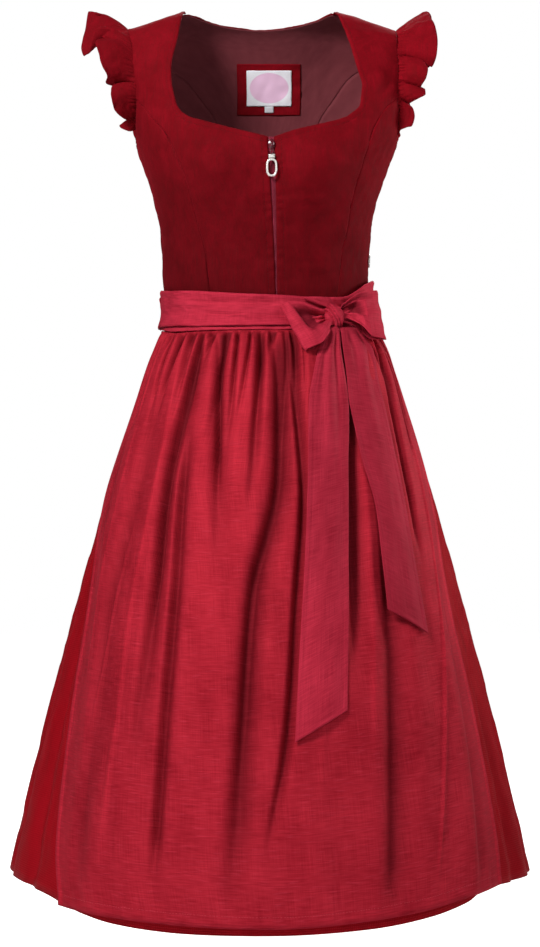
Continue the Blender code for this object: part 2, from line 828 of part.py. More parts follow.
def tail(name, table, slant):
    """A hanging end of the tie, cut off at a slant: positive slants leave the left corner lower."""
    foot, head = table.keys[0], table.keys[-1]

    def lay(s, t):
        end = foot + max(slant * s, -slant * (1 - s))
        level = end + (head - end) * t
        left, right, out = table.at(level)
        return left + (right - left) * s, level, out + TAIL_CROWN * math.sin(math.pi * s)

    cut(name, "band", TAFFETA, [(TAIL_COLUMNS, TAIL_ROWS, lay)])


def knot():
    """The knot that the ties, loops and tails run into."""
    bm = bmesh.new()
    bmesh.ops.create_uvsphere(bm, u_segments=14, v_segments=9, radius=1)
    bmesh.ops.scale(bm, vec=KNOT_SIZE, verts=bm.verts)
    bmesh.ops.transform(bm, matrix=seat(KNOT_ANGLE, KNOT_LEVEL, KNOT_OUT), verts=bm.verts)
    finish("bow_knot", bm, "band")


def seat(angle, level, out):
    """A frame on the figure: X to the right along it, -Y straight out and Z up."""
    aside, upward = tangents(angle, level)
    outward = aside.cross(upward).normalized()
    frame = Matrix((aside, -outward, outward.cross(aside) * -1)).transposed().to_4x4()
    frame.translation = wrap(angle, level, out)
    return frame


def bow():
    tie("tie_left", FIRST_TIE, 88, 398, FIRST_TIE_OUT)
    tie("tie_right", SECOND_TIE, 44, 271, SECOND_TIE_OUT)
    loop("bow_loop_left", LEFT_LOOP)
    loop("bow_loop_right", RIGHT_LOOP)
    tail("tail_long", LONG_TAIL, LONG_TAIL_SLANT)
    tail("tail_short", SHORT_TAIL, SHORT_TAIL_SLANT)
    knot()


# Shoulder ruffles

RUFFLE_WALL = 1.2
RUFFLE_COLUMNS = 56
RUFFLE_ROWS = 3
RUFFLE_WAVES = 8
RUFFLE_DRIFT = 0.15
RUFFLE_ROOT = 0.9
# how far outside the strap's root and below it the ruffle starts on the front
RUFFLE_START = (1.5, 32)
# share of the armhole from the front end, width, wave, and the way it points: out, forward, up
RUFFLE = Table((
    (0.0, 13, 1.5, 0.80, 0.45, -0.30),
    (0.10, 24, 5, 0.90, 0.35, -0.15),
    (0.25, 37, 9, 0.95, 0.25, 0.02),
    (0.40, 54, 11, 0.93, 0.12, 0.25),
    (0.50, 62, 11, 0.90, 0.0, 0.42),
    (0.60, 54, 10, 0.93, -0.12, 0.25),
    (0.75, 37, 8, 0.95, -0.25, 0.02),
    (0.90, 24, 5, 0.90, -0.35, -0.15),
    (1.0, 13, 1.5, 0.80, -0.45, -0.30),
))


def armhole_line(side):
    """The armhole edge from low on the front over the shoulder to low on the back, as points."""
    x, z = STRAP_ROOT[side]
    aside, down = RUFFLE_START
    front = front_armhole(side)
    back = back_armhole_top(side)
    points = [surface(*spot(x + side_of(side) * aside, z - down))]
    points += [surface(*front(i / 8)) for i in range(9)]
    points += [surface(*back(i / 4)) for i in (3, 2, 1, 0)]
    for z, half in BACK_ARMHOLE:
        points.append(surface(*spot(back_x(half, z, side), z, True)))
    rows, length, last = [], 0, None
    for point in points:
        if last is not None:
            length += (point - last).length
        rows.append((length, *point))
        last = point
    table = Table(rows)
    return lambda t: Vector(table.at(t * length))


def on_ruffle(side):
    """Lay a pattern: share of the armhole, share of the ruffle's width, and distance out."""
    sign = side_of(side)
    root = armhole_line(side)

    def middle(s, across):
        width, wave, outward, forward, up = RUFFLE.at(s)
        way = Vector((sign * outward, -forward, up)).normalized()
        along = (root(min(s + 0.01, 1)) - root(max(s - 0.01, 0))).normalized()
        face = way.cross(along).normalized()
        turn = s * RUFFLE_WAVES * 2 * math.pi
        swing = wave * across ** 0.8 * math.sin(turn)
        drift = wave * RUFFLE_DRIFT * across * math.sin(2 * turn + 0.6)
        reach = RUFFLE_ROOT + width * across
        return root(s) + way * reach + face * swing + along * drift

    def place(s, across, out):
        s0, s1 = max(s - 0.003, 0), min(s + 0.003, 1)
        a0, a1 = max(across - 0.02, 0), min(across + 0.02, 1)
        along = middle(s1, across) - middle(s0, across)
        outward = middle(s, a1) - middle(s, a0)
        return middle(s, across) + along.cross(outward).normalized() * out

    return place


def ruffles():
    def lay(s, t):
        return s, t, RUFFLE_WALL / 2

    for side in ("left", "right"):
        grid = [(RUFFLE_COLUMNS, RUFFLE_ROWS, lay)]
        cut(f"ruffle_{side}", "velvet", RUFFLE_WALL, grid, on_ruffle(side))


# Zip, its pull and the badge

TAPE_WIDTH = 22
SLIDER_LEVEL = -191
SLIDER_SIZE = (8.5, 3.2, 12.5)
SLIDER_OUT = 2.1
PULL_X = 14.5
PULL_Y = -123.0
LOOP_SIZE = (5.0, 1.6, 6.4)
LOOP_TOP = -197.4
CLASP_SIZE = (8.6, 2.6, 4.6)
CLASP_TOP = -204.2
PENDANT_TOP = -209.2
PENDANT_SIZE = (14.4, 22.8)
PENDANT_WIRE = 3.0
WIRE_SIDES, WIRE_STEPS = 6, 20
BADGE_ANGLE, BADGE_LEVEL = 84, -324
BADGE_RADIUS, BADGE_WALL = 8.5, 1.6
BADGE_SIDES = 20
BADGE_GAP = 0.1


def zip_tape():
    def edge(sign):
        return route([spot(x + sign * TAPE_WIDTH / 2, z) for z, x, _ in reversed(ZIP_LINE)])

    left, right = edge(-1), edge(1)
    lay = fill(straight(left(0), right(0)), straight(left(1), right(1)), left, right)
    cut("zip_tape", "zip", LINING, [(4, PANEL_ROWS, lay)], deeper(wrap, VELVET + 2 * SEAM))


def block(name, finish_name, size, matrix, round_off):
    """A block with softened edges."""
    bm = bmesh.new()
    bmesh.ops.create_cube(bm, size=1)
    bmesh.ops.scale(bm, vec=size, verts=bm.verts)
    bmesh.ops.bevel(bm, geom=bm.edges[:], offset=round_off, segments=2, profile=0.5, affect="EDGES")
    bmesh.ops.transform(bm, matrix=matrix, verts=bm.verts)
    return finish(name, bm, finish_name)


def zip_slider():
    x = Table(ZIP_LINE).read(SLIDER_LEVEL)
    angle = spot(x, SLIDER_LEVEL)[0]
    block("zip_slider", "lacquer", SLIDER_SIZE, seat(angle, SLIDER_LEVEL, SLIDER_OUT), 1.2)


def zip_pull():
    """What hangs from the slider: a loop, a clasp and an oval ring, each free to swing on the last."""
    loop_middle = Matrix.Translation((PULL_X, PULL_Y, LOOP_TOP - LOOP_SIZE[2] / 2))
    block("zip_loop", "lacquer", LOOP_SIZE, loop_middle, 0.6)
    clasp_middle = Matrix.Translation((PULL_X, PULL_Y, CLASP_TOP - CLASP_SIZE[2] / 2))
    block("zip_clasp", "silver", CLASP_SIZE, clasp_middle, 0.9)
    pendant()


def pendant():
    """The oval ring: a round hoop of wire, spun and then stretched to the oval."""
    bm = bmesh.new()
    width, height = PENDANT_SIZE
    reach = PENDANT_WIRE / 2
    hoop = 4 * reach
    made = bmesh.ops.create_circle(bm, segments=WIRE_SIDES, radius=reach)
    turn = Matrix.Rotation(math.radians(90), 4, "X")
    bmesh.ops.transform(bm, matrix=Matrix.Translation((hoop, 0, 0)) @ turn, verts=made["verts"])
    bmesh.ops.spin(bm, geom=bm.verts[:] + bm.edges[:], cent=(0, 0, 0), axis=(0, 0, 1),
                   angle=2 * math.pi, steps=WIRE_STEPS, use_merge=True)
    inner = Vector((width / 2 - reach, height / 2 - reach))
    for vert in bm.verts:
        flat = Vector((vert.co.x, vert.co.y))
        way = flat.normalized()
        beyond = flat.length - hoop
        vert.co = Vector((
            PULL_X + way.x * (inner.x + beyond),
            PULL_Y + vert.co.z,
            PENDANT_TOP - height / 2 + way.y * (inner.y + beyond),
        ))
    finish("zip_pendant", bm, "silver")


def badge():
    bm = bmesh.new()
    bmesh.ops.create_cone(bm, cap_ends=True, segments=BADGE_SIDES, radius1=BADGE_RADIUS,
                          radius2=BADGE_RADIUS, depth=BADGE_WALL)
    turn = Matrix.Rotation(math.radians(90), 4, "X")
    place = seat(BADGE_ANGLE, BADGE_LEVEL, BADGE_WALL / 2 + BADGE_GAP)
    bmesh.ops.transform(bm, matrix=place @ turn, verts=bm.verts)
    finish("badge", bm, "silver")


# Finishes and the whole dress

def finishes():
    return {
        "velvet": material("velvet", (0.16, 0.006, 0.012), 0.75),
        "lining": material("lining", (0.09, 0.016, 0.02), 0.6),
        "skirt": material("skirt", (0.36, 0.012, 0.022), 0.6),
        "apron": material("apron", (0.46, 0.024, 0.045), 0.45),
        "band": material("band", (0.5, 0.028, 0.05), 0.45),
        "zip": material("zip", (0.13, 0.01, 0.02), 0.6),
        "lacquer": material("lacquer", (0.12, 0.006, 0.014), 0.2),
        "silver": material("silver", (0.7, 0.7, 0.7), 0.2, 1.0),
        "label": material("label", (0.76, 0.75, 0.8), 0.7),
    }


for old in list(bpy.data.objects):
    bpy.data.objects.remove(old)
MATERIALS = finishes()
bodice()
labels()
zip_tape()
zip_slider()
zip_pull()
badge()
ruffles()
skirt_front()
skirt_back()
apron()
apron_band()
bow()
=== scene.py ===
import math

import bmesh
import bpy
import numpy as np
from mathutils import Matrix, Vector
from mathutils.bvhtree import BVHTree


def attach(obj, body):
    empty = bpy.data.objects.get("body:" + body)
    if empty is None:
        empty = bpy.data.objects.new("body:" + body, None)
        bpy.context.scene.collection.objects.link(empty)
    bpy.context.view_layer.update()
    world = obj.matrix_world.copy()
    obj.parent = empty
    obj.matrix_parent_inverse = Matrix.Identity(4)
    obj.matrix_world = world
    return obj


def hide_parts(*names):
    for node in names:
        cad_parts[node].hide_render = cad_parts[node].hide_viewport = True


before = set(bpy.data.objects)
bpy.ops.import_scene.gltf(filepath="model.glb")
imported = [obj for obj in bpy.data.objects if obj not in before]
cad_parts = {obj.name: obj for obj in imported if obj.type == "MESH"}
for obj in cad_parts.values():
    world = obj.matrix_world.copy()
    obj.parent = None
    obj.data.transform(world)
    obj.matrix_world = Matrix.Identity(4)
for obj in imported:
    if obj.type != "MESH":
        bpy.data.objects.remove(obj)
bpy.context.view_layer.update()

MM = 0.001
TAU = 2 * math.pi
# ends the name of each piece made here, so that none has a solid's own name
FINE = "_fine"


# Smooth tables and uneven fields

class Table:
    """Rows that start with a key; at(key) reads the other columns smoothly, with no overshoot."""

    def __init__(self, rows):
        data = np.array(sorted(rows), float)
        self.keys, self.values = data[:, 0], data[:, 1:]
        steps = np.diff(self.values, axis=0) / np.diff(self.keys)[:, None]
        before, after = steps[:-1], steps[1:]
        same_way = before * after > 0
        total = np.where(same_way, before + after, 1)
        inner = np.where(same_way, 2 * before * after / total, 0)
        self.slopes = np.vstack((steps[:1], inner, steps[-1:]))

    def at(self, key):
        key = np.clip(np.asarray(key, float), self.keys[0], self.keys[-1])
        i = np.clip(np.searchsorted(self.keys, key) - 1, 0, len(self.keys) - 2)
        span = (self.keys[i + 1] - self.keys[i])[..., None]
        t = (key - self.keys[i])[..., None] / span
        low, high = (1 + 2 * t) * (1 - t) ** 2, t * t * (3 - 2 * t)
        leave, arrive = span * t * (1 - t) ** 2, -span * t * t * (1 - t)
        ends = self.values[i] * low + self.values[i + 1] * high
        return ends + self.slopes[i] * leave + self.slopes[i + 1] * arrive

    def read(self, key):
        return self.at(key)[..., 0]

    def columns(self, key):
        return np.moveaxis(self.at(key), -1, 0)


def ease(t):
    t = np.clip(t, 0, 1)
    return t * t * (3 - 2 * t)


def bell(x):
    return np.exp(-np.square(x))


def between(start, end, share):
    return start + (end - start) * share


def pair(across, along):
    return np.stack((across, along), -1)


def inward(share):
    """How far a share lies from the nearer of its two ends."""
    return np.minimum(share, 1 - share)


def unit(vectors):
    return vectors / np.maximum(np.linalg.norm(vectors, axis=-1, keepdims=True), 1e-9)


def run_along(points):
    """Length of a line of points from its start to each of them."""
    steps = np.linalg.norm(np.diff(points, axis=0), axis=1)
    return np.concatenate(((0,), np.cumsum(steps)))


def mesh_of(name, bm):
    mesh = bpy.data.meshes.new(name)
    bm.to_mesh(mesh)
    bm.free()
    return mesh


def add_object(name, data):
    made = bpy.data.objects.new(name, data)
    bpy.context.collection.objects.link(made)
    return made


def edges_of(verts):
    return list({edge for vert in verts for edge in vert.link_edges})


def waves(points, length, seed, count=14):
    """A smooth uneven field about 0 whose bumps have roughly the given length."""
    random = np.random.default_rng(seed)
    total = 0.0
    for _ in range(count):
        way = unit(random.normal(size=points.shape[-1]))
        size = TAU / (length * random.uniform(0.7, 1.6))
        total = total + np.sin(points @ way * size + random.uniform(0, TAU))
    return total / math.sqrt(count / 2)


def strokes(x, z, rows):
    """Soft creases drawn as straight strokes: x and z of both ends, height, half width."""
    total = 0.0
    for x0, z0, x1, z1, height, width in rows:
        run = math.hypot(x1 - x0, z1 - z0)
        along = ((x - x0) * (x1 - x0) + (z - z0) * (z1 - z0)) / run ** 2
        aside = ((x - x0) * (z1 - z0) - (z - z0) * (x1 - x0)) / run
        fade = ease(along * 4) * ease((1 - along) * 4)
        total = total + height * fade * bell(aside / width)
    return total


# The figure

WAIST = -388
UNDERARM = -175
SHOULDER_SLOPE = 0.32
SHOULDER_FLAT = 97
SHOULDER_SOFTNESS = 3
SLOPE_FADE = 160
FIGURE_MIDDLE = 8
BUST_RISE = 11
BUST_SPREAD = 66
BUST_LEVEL = -222
BUST_SIZE = (38, 36)
# level, centre, half width, front depth, back depth, squareness
FIGURE = (
    (0, 0, 205, 0, 0, 3.2),
    (-3, 0.5, 205, 22, 20, 3.2),
    (-12, 1.5, 203, 46, 42, 3.2),
    (-30, 3.5, 198, 66, 60, 3.1),
    (-60, 6, 190, 84, 78, 3.0),
    (-100, 8.5, 181, 98, 90, 2.8),
    (-140, 9, 174.5, 109, 97, 2.6),
    (-175, 8, 168.5, 116, 99, 2.5),
    (-205, 7, 158, 119, 98, 2.4),
    (-244, 6.5, 145.5, 115, 95, 2.3),
    (-283, 6.5, 137, 106, 92, 2.25),
    (-322, 6.5, 134, 99, 90, 2.2),
    (-350, 6.5, 133, 97, 90, 2.2),
    (-388, 7.5, 130.5, 96, 91, 2.2),
    (-413, 9, 137, 103, 98, 2.15),
    (-426, 10.5, 144, 109, 104, 2.1),
    (-452, 12, 156, 120, 116, 2.05),
    (-504, 12, 173.5, 138, 135, 2.0),
    (-634, 12, 213, 178, 176, 2.0),
    (-764, 12, 250, 213, 212, 2.0),
    (-894, 12, 284.5, 245, 244, 2.0),
    (-1024, 12, 316.5, 273, 272, 2.0),
    (-1140, 12, 343, 296, 295, 2.0),
)
RINGS = Table([(z, mid, half, f * f, b * b, power) for z, mid, half, f, b, power in FIGURE])


def ring(level):
    """Centre, half width, front depth, back depth and squareness of the figure at one level."""
    mid, half, front, back, power = RINGS.columns(level)
    return mid, half, np.sqrt(np.maximum(front, 0)), np.sqrt(np.maximum(back, 0)), power


def shoulder_drop(x, level):
    past = np.abs(x) - SHOULDER_FLAT
    beyond = (past + np.hypot(past, SHOULDER_SOFTNESS)) / 2
    return SHOULDER_SLOPE * beyond * ease(1 + level / SLOPE_FADE)


def bust(x, level):
    wide, tall = BUST_SIZE
    return BUST_RISE * bell((np.abs(x) - BUST_SPREAD) / wide) * bell((level - BUST_LEVEL) / tall)


def surface(angle, level):
    """Points of the bare figure."""
    angle, level = np.broadcast_arrays(np.asarray(angle, float), np.asarray(level, float))
    mid, half, front, back, power = ring(level)
    s, c = np.sin(np.radians(angle)), np.cos(np.radians(angle))
    size = (np.abs(s) ** power + np.abs(c) ** power) ** (-1 / power)
    x = mid + half * s * size
    cups = np.where(c > 0, bust(x - mid, level) * ease(c * 2), 0)
    y = -c * size * np.where(c > 0, front, back) - cups
    return np.stack((x, y, level - shoulder_drop(x, level)), -1)


def tangents(angle, level):
    aside = surface(angle + 0.05, level) - surface(angle - 0.05, level)
    upward = surface(angle, np.minimum(level + 0.1, 0)) - surface(angle, level - 0.1)
    return unit(aside), unit(upward)


def wrap(angle, level, out):
    """Lay points of a flat pattern on the figure."""
    aside, upward = tangents(angle, level)
    outward = unit(np.cross(aside, upward))
    return surface(angle, level) + outward * np.asarray(out)[..., None]


def spot(x, z, back=False):
    """The angle and level of a point of the figure that is given by its x and its height."""
    level = z
    for _ in range(12):
        level = min(z + float(shoulder_drop(x, level)), 0)
    mid, half, _, _, power = (float(value) for value in ring(level))
    across = min(max((x - mid) / half, -1), 1)
    ahead = (1 - abs(across) ** power) ** (1 / power)
    angle = math.degrees(math.atan2(across, ahead))
    return (180 - angle if back else angle), level


def route(spots):
    """A smooth line through (angle, level) spots, read from 0 to 1 by its real length."""
    lengths = run_along(surface(*np.array(spots, float).T))
    table = Table([(length, *place) for length, place in zip(lengths, spots)])
    return lambda t: table.at(np.asarray(t) * lengths[-1])


def straight(start, end):
    start, end = np.array(start, float), np.array(end, float)
    return lambda t: start + (end - start) * np.asarray(t)[..., None]


# the two ends of a line
FOOT, HEAD = np.array(0.0), np.array(1.0)


def join(first, second, share):
    """Two lines end to end; the first takes the given share."""
    def line(t):
        t = np.asarray(t, float)
        low, high = first(np.clip(t / share, 0, 1)), second(np.clip((t - share) / (1 - share), 0, 1))
        return np.where((t <= share)[..., None], low, high)
    return line


def fill(bottom, top, left, right):
    """The patch between four edges that meet at their ends, as angles and levels."""
    corners = [edge(end) for edge in (bottom, top) for end in (FOOT, HEAD)]

    def lay(s, t):
        across, up = s[..., None], t[..., None]
        blend = (1 - up) * bottom(s) + up * top(s) + (1 - across) * left(t) + across * right(t)
        low = (1 - across) * corners[0] + across * corners[1]
        high = (1 - across) * corners[2] + across * corners[3]
        place = blend - (1 - up) * low - up * high
        return place[..., 0], place[..., 1]

    return lay


# Making a piece

def array_of(data, name, width, kind=float):
    values = np.empty(len(data) * width, np.float32 if kind is float else np.int32)
    data.foreach_get(name, values)
    return values.reshape(-1, width) if width > 1 else values


def faces_out(lay):
    """True if a patch's faces point the way that its lift goes."""
    here, step = np.array([0.5]), 0.01
    start = lay(here, here, 0.0)[0][0]
    across = lay(here + step, here, 0.0)[0][0] - start
    upward = lay(here, here + step, 0.0)[0][0] - start
    lift = lay(here, here, 1.0)[0][0] - start
    return float(np.dot(np.cross(across, upward), lift)) > 0


def grid(columns, rows, lay):
    """A laid grid with its cut in the UV map, in metres. lay(s, t, lift) gives places and cut,
    and for some cloth a painted shade by how deep each place lies in a fold, which the finish darkens its
    colour by."""
    bm = bmesh.new()
    bmesh.ops.create_grid(bm, x_segments=columns, y_segments=rows, size=0.5)
    if not faces_out(lay):
        bmesh.ops.reverse_faces(bm, faces=bm.faces)
    mesh = mesh_of("grid", bm)
    flat = array_of(mesh.vertices, "co", 3).astype(float)
    places, cut, *painted_shading = lay(flat[:, 0] + 0.5, flat[:, 1] + 0.5, 0.0)
    mesh.vertices.foreach_set("co", (places * MM).astype(np.float32).ravel())
    corners = array_of(mesh.loops, "vertex_index", 1, int)
    layer = mesh.uv_layers.new(name="cut")
    layer.data.foreach_set("uv", cut[corners].astype(np.float32).ravel())
    if painted_shading:
        shade = mesh.attributes.new("fold", "FLOAT", "POINT")
        shade.data.foreach_set("value", painted_shading[0].astype(np.float32))
    return mesh


def settle(name, mesh, finish, wall=0.0, body="dress", extra=False):
    """Make a mesh one smooth piece of a body, with its wall inwards where it has one.
    A piece stands for the solid of its name, and an extra one for none."""
    mesh.materials.append(FINISHES[finish])
    mesh.shade_smooth()
    made = add_object(name + FINE, mesh)
    if wall:
        solid = made.modifiers.new("wall", "SOLIDIFY")
        solid.thickness = wall * MM
        solid.offset = -1
    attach(made, body)
    if not extra:
        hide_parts(name)
    return made


def cloth(name, patches, finish, wall):
    """Grids joined into one piece of cloth."""
    bm = bmesh.new()
    for columns, rows, lay in patches:
        part = grid(columns, rows, lay)
        bm.from_mesh(part)
        bpy.data.meshes.remove(part)
    if len(patches) > 1:
        bmesh.ops.remove_doubles(bm, verts=bm.verts, dist=0.00002)
    return settle(name, mesh_of(name, bm), finish, wall)


def solid(name, bm, finish, sharp=None, **rest):
    """A closed bmesh in millimetres made one piece in metres."""
    bmesh.ops.scale(bm, vec=(MM, MM, MM), verts=bm.verts)
    bmesh.ops.recalc_face_normals(bm, faces=bm.faces)
    mesh = mesh_of(name, bm)
    settle(name, mesh, finish, **rest)
    if sharp:
        mesh.set_sharp_from_angle(angle=math.radians(sharp))


def tree_of(made):
    """The outer surface of a piece, for finding the nearest point on it."""
    bm = bmesh.new()
    bm.from_mesh(made.data)
    found = BVHTree.FromBMesh(bm)
    bm.free()
    return found


STITCH_SIZE, STITCH_PITCH = (1.35, 0.32, 0.26), 3.4


def stitch_rows(name, finish, rows):
    """Rows of stitches as small capsules; a row is its points in mm and the surface it lies on."""
    bm = bmesh.new()
    for points, surface_tree in rows:
        along = run_along(points)
        count = max(int(along[-1] / STITCH_PITCH), 1)
        middle = (np.arange(count) + 0.5) / count * along[-1]
        behind, places, ahead = (
            np.stack([np.interp(middle + step, along, row) for row in points.T], -1)
            for step in (-0.5, 0, 0.5)
        )
        for place, way in zip(places, ahead - behind):
            found, normal, _, _ = surface_tree.find_nearest(Vector(place * MM))
            if found is None:
                continue
            way = Vector(way).normalized()
            normal = normal if normal.dot(found - Vector((0.01, 0, found.z))) > 0 else -normal
            side = normal.cross(way).normalized()
            turn = Matrix((way, side, way.cross(side))).transposed().to_4x4()
            matrix = Matrix.Translation(found / MM) @ turn @ Matrix.Diagonal((*STITCH_SIZE, 1))
            bmesh.ops.create_icosphere(bm, subdivisions=1, radius=1, matrix=matrix)
    solid(name, bm, finish, extra=True)


# Finishes

def tone(red, green, blue):
    """A colour from the 0 to 255 values that a colour picker shows."""
    shares = [value / 255 for value in (red, green, blue)]
    return (*[c / 12.92 if c < 0.04 else ((c + 0.055) / 1.055) ** 2.4 for c in shares], 1)


class Finish:
    """One material: a Principled shader and the nodes that feed it."""

    def __init__(self, name, on="Object", **sockets):
        self.material = bpy.data.materials.new(name)
        self.material.use_nodes = True
        self.tree = self.material.node_tree
        self.shader = self.tree.nodes["Principled BSDF"]
        for key, value in sockets.items():
            self.shader.inputs[key.replace("_", " ")].default_value = value
        coordinates = self.tree.nodes.new("ShaderNodeTexCoord")
        self.place = coordinates.outputs[on]

    def add(self, kind, inputs, output=0, **settings):
        node = self.tree.nodes.new("ShaderNode" + kind)
        for key, value in settings.items():
            setattr(node, key, value)
        for key, value in inputs.items():
            if isinstance(value, bpy.types.NodeSocket):
                self.tree.links.new(value, node.inputs[key])
            else:
                node.inputs[key].default_value = value
        return node.outputs[output]

    def noise(self, size, detail=2.0, roughness=0.5, distortion=0.0):
        """Noise whose spots have the given size in mm along each direction."""
        scale = [1000 / part for part in size]
        mapped = self.add("Mapping", {"Vector": self.place, "Scale": scale})
        return self.add("TexNoise", {"Vector": mapped, "Scale": 1.0, "Detail": detail,
                                     "Roughness": roughness, "Distortion": distortion})

    def ramp(self, factor, stops):
        """Colours or greys at shares of a factor."""
        node = self.tree.nodes.new("ShaderNodeValToRGB")
        self.tree.links.new(factor, node.inputs[0])
        elements = node.color_ramp.elements
        while len(elements) < len(stops):
            elements.new(0.5)
        for element, (share, colour) in zip(elements, stops):
            element.position = share
            element.color = colour if hasattr(colour, "__len__") else (colour, colour, colour, 1)
        return node.outputs[0]

    def span(self, factor, low, high, start=0.3, end=0.7):
        """A factor's run from start to end drawn out to run from low to high."""
        return self.ramp(factor, ((start, low), (end, high)))

    def math(self, operation, first, second=0.0):
        return self.add("Math", {0: first, 1: second}, operation=operation)

    def times(self, first, second):
        return self.math("MULTIPLY", first, second)

    def plus(self, first, second):
        return self.math("ADD", first, second)

    def mix(self, factor, first, second, mode="MIX"):
        return self.add("MixRGB", {0: factor, 1: first, 2: second}, blend_type=mode)

    def shaded(self, colour, shade):
        return self.mix(1.0, colour, shade, "MULTIPLY")

    def axes(self):
        node = self.tree.nodes.new("ShaderNodeSeparateXYZ")
        self.tree.links.new(self.place, node.inputs[0])
        return node.outputs

    def bump(self, height, strength, distance, under=None):
        inputs = {"Height": height, "Strength": strength, "Distance": distance * MM}
        if under is not None:
            inputs["Normal"] = under
        return self.add("Bump", inputs)

    def done(self, colour, roughness=None, normal=None):
        self.tree.links.new(colour, self.shader.inputs["Base Color"])
        if roughness is not None:
            self.tree.links.new(roughness, self.shader.inputs["Roughness"])
        if normal is not None:
            self.tree.links.new(normal, self.shader.inputs["Normal"])
        return self.material


def velvet():
    """Short pile that lies this way and that, so its red runs from dark to light in soft patches. Painted
    shade darkens it towards the bottom and towards the left side.
    """
    made = Finish("velvet", Specular_IOR_Level=0.08, Sheen_Weight=0.25, Sheen_Roughness=0.4,
                  Sheen_Tint=tone(214, 40, 60))
    patches = made.noise((26, 26, 34), 4, 0.62, 0.4)
    brushed = made.noise((3.2, 3.2, 26), 3, 0.6)
    nap = made.noise((0.55, 0.55, 0.8), 2)
    ribs = made.noise((0.9, 0.9, 45), 1)
    mixed = made.plus(made.times(patches, 0.62), made.times(brushed, 0.38))
    colour = made.ramp(mixed, ((0.3, tone(122, 4, 16)), (0.5, tone(140, 6, 22)), (0.7, tone(158, 11, 29))))
    speckle = made.span(nap, 0.82, 1.0)
    colour = made.shaded(colour, speckle)
    colour = made.shaded(colour, made.span(ribs, 0.86, 1.0, 0.35, 0.65))
    aside, _, height = made.axes()
    # painted shade: the lower a point lies, the darker its colour, standing in for light from above
    down = made.plus(made.times(height, 3.3), 1.2)
    painted_shade_below = made.ramp(down, ((0.0, 0.55), (0.35, 0.72), (0.75, 0.93), (1.0, 1.0)))
    colour = made.shaded(colour, painted_shade_below)
    # painted shade: darker towards the left side, lighter towards the right
    painted_shade_left = made.span(made.plus(made.times(aside, 2), 0.5), 0.78, 1.0, 0.2, 0.8)
    colour = made.shaded(colour, painted_shade_left)
    rough = made.span(brushed, 0.78, 0.96)
    soft = made.bump(patches, 0.3, 0.8)
    soft = made.bump(brushed, 0.35, 0.3, soft)
    return made.done(colour, rough, made.bump(nap, 0.5, 0.3, soft))


# painted shade: how much of its colour the cloth loses at the bottom of a fold
FOLD_SHADE = 0.53


def shantung(name, light, dark, slub=1.0):
    """Crisp taffeta with slubs across and fine ribs down, darkened by painted shade in its folds. Its map
    is in metres of the cut.
    """
    made = Finish(name, "UV", Metallic=0.3, Specular_IOR_Level=0.06, Sheen_Weight=0.04,
                  Sheen_Roughness=0.35, Sheen_Tint=tone(214, 90, 110))
    threads = made.noise((26, 1.3, 1), 3, 0.6)
    slubs = made.noise((22, 1.6, 1), 1)
    ribs = made.noise((0.5, 40, 1), 1)
    cloudy = made.noise((45, 60, 1), 3)
    thick = made.span(slubs, 0.0, 1.0, 0.6, 0.72)
    tint = made.plus(made.times(threads, 0.5), made.times(ribs, 0.28))
    tint = made.plus(tint, made.times(cloudy, 0.3))
    colour = made.span(tint, dark, light, 0.4, 0.68)
    colour = made.mix(made.times(thick, 0.3 * slub), colour, tone(208, 58, 80))
    # painted shade: the fold attribute darkens the colour, and below 0 lightens it as a painted highlight
    painted_shading = made.add("Attribute", {}, 2, attribute_name="fold")
    shade = made.math("SUBTRACT", 1.0, made.times(painted_shading, FOLD_SHADE))
    colour = made.shaded(colour, shade)
    rough = made.span(threads, 0.62, 0.74)
    weave = made.plus(made.times(threads, 0.6), made.times(ribs, 0.4))
    normal = made.bump(weave, 0.5, 0.16)
    normal = made.bump(thick, 0.5 * slub, 0.2, normal)
    return made.done(colour, rough, normal)


def jacquard():
    """Cotton with a small dotted figure on the slant. Its map is in metres of the cut."""
    made = Finish("skirt cloth", "UV", Metallic=0.12, Specular_IOR_Level=0.04)
    across, along, _ = made.axes()
    pitch = 4.2
    turn = TAU / (pitch * MM)
    up, down = (made.math("SINE", made.times(made.math(way, across, along), turn))
                for way in ("ADD", "SUBTRACT"))
    dots = made.span(made.times(up, down), 0.0, 1.0, 0.1, 0.6)
    threads = made.noise((4, 0.5, 1), 2)
    cloudy = made.noise((40, 90, 1), 3)
    tint = made.plus(made.times(threads, 0.45), made.times(cloudy, 0.55))
    colour = made.span(tint, tone(132, 5, 14), tone(168, 12, 27), 0.35, 0.68)
    colour = made.mix(made.times(dots, 0.42), colour, tone(192, 32, 48))
    normal = made.bump(threads, 0.35, 0.15)
    normal = made.bump(dots, 0.35, 0.15, normal)
    return made.done(colour, made.span(dots, 0.62, 0.45, 0.0, 1.0), normal)


def plain_weave(name, light, dark, pitch=0.7, strength=0.4):
    """Plain cloth: threads over and under each other, with uneven dye."""
    made = Finish(name, "UV", Specular_IOR_Level=0.15, Sheen_Weight=0.05)
    across, along, _ = made.axes()
    turn = TAU / (pitch * MM)
    over, under = (made.math("SINE", made.times(way, turn)) for way in (across, along))
    weave = made.times(over, under)
    cloudy = made.noise((14, 18, 1), 4)
    fine = made.noise((1.2, 1.2, 1), 2)
    tint = made.plus(made.times(cloudy, 0.7), made.times(fine, 0.3))
    colour = made.span(tint, dark, light, 0.35, 0.65)
    rough = made.span(fine, 0.62, 0.82)
    return made.done(colour, rough, made.bump(weave, strength, 0.12))


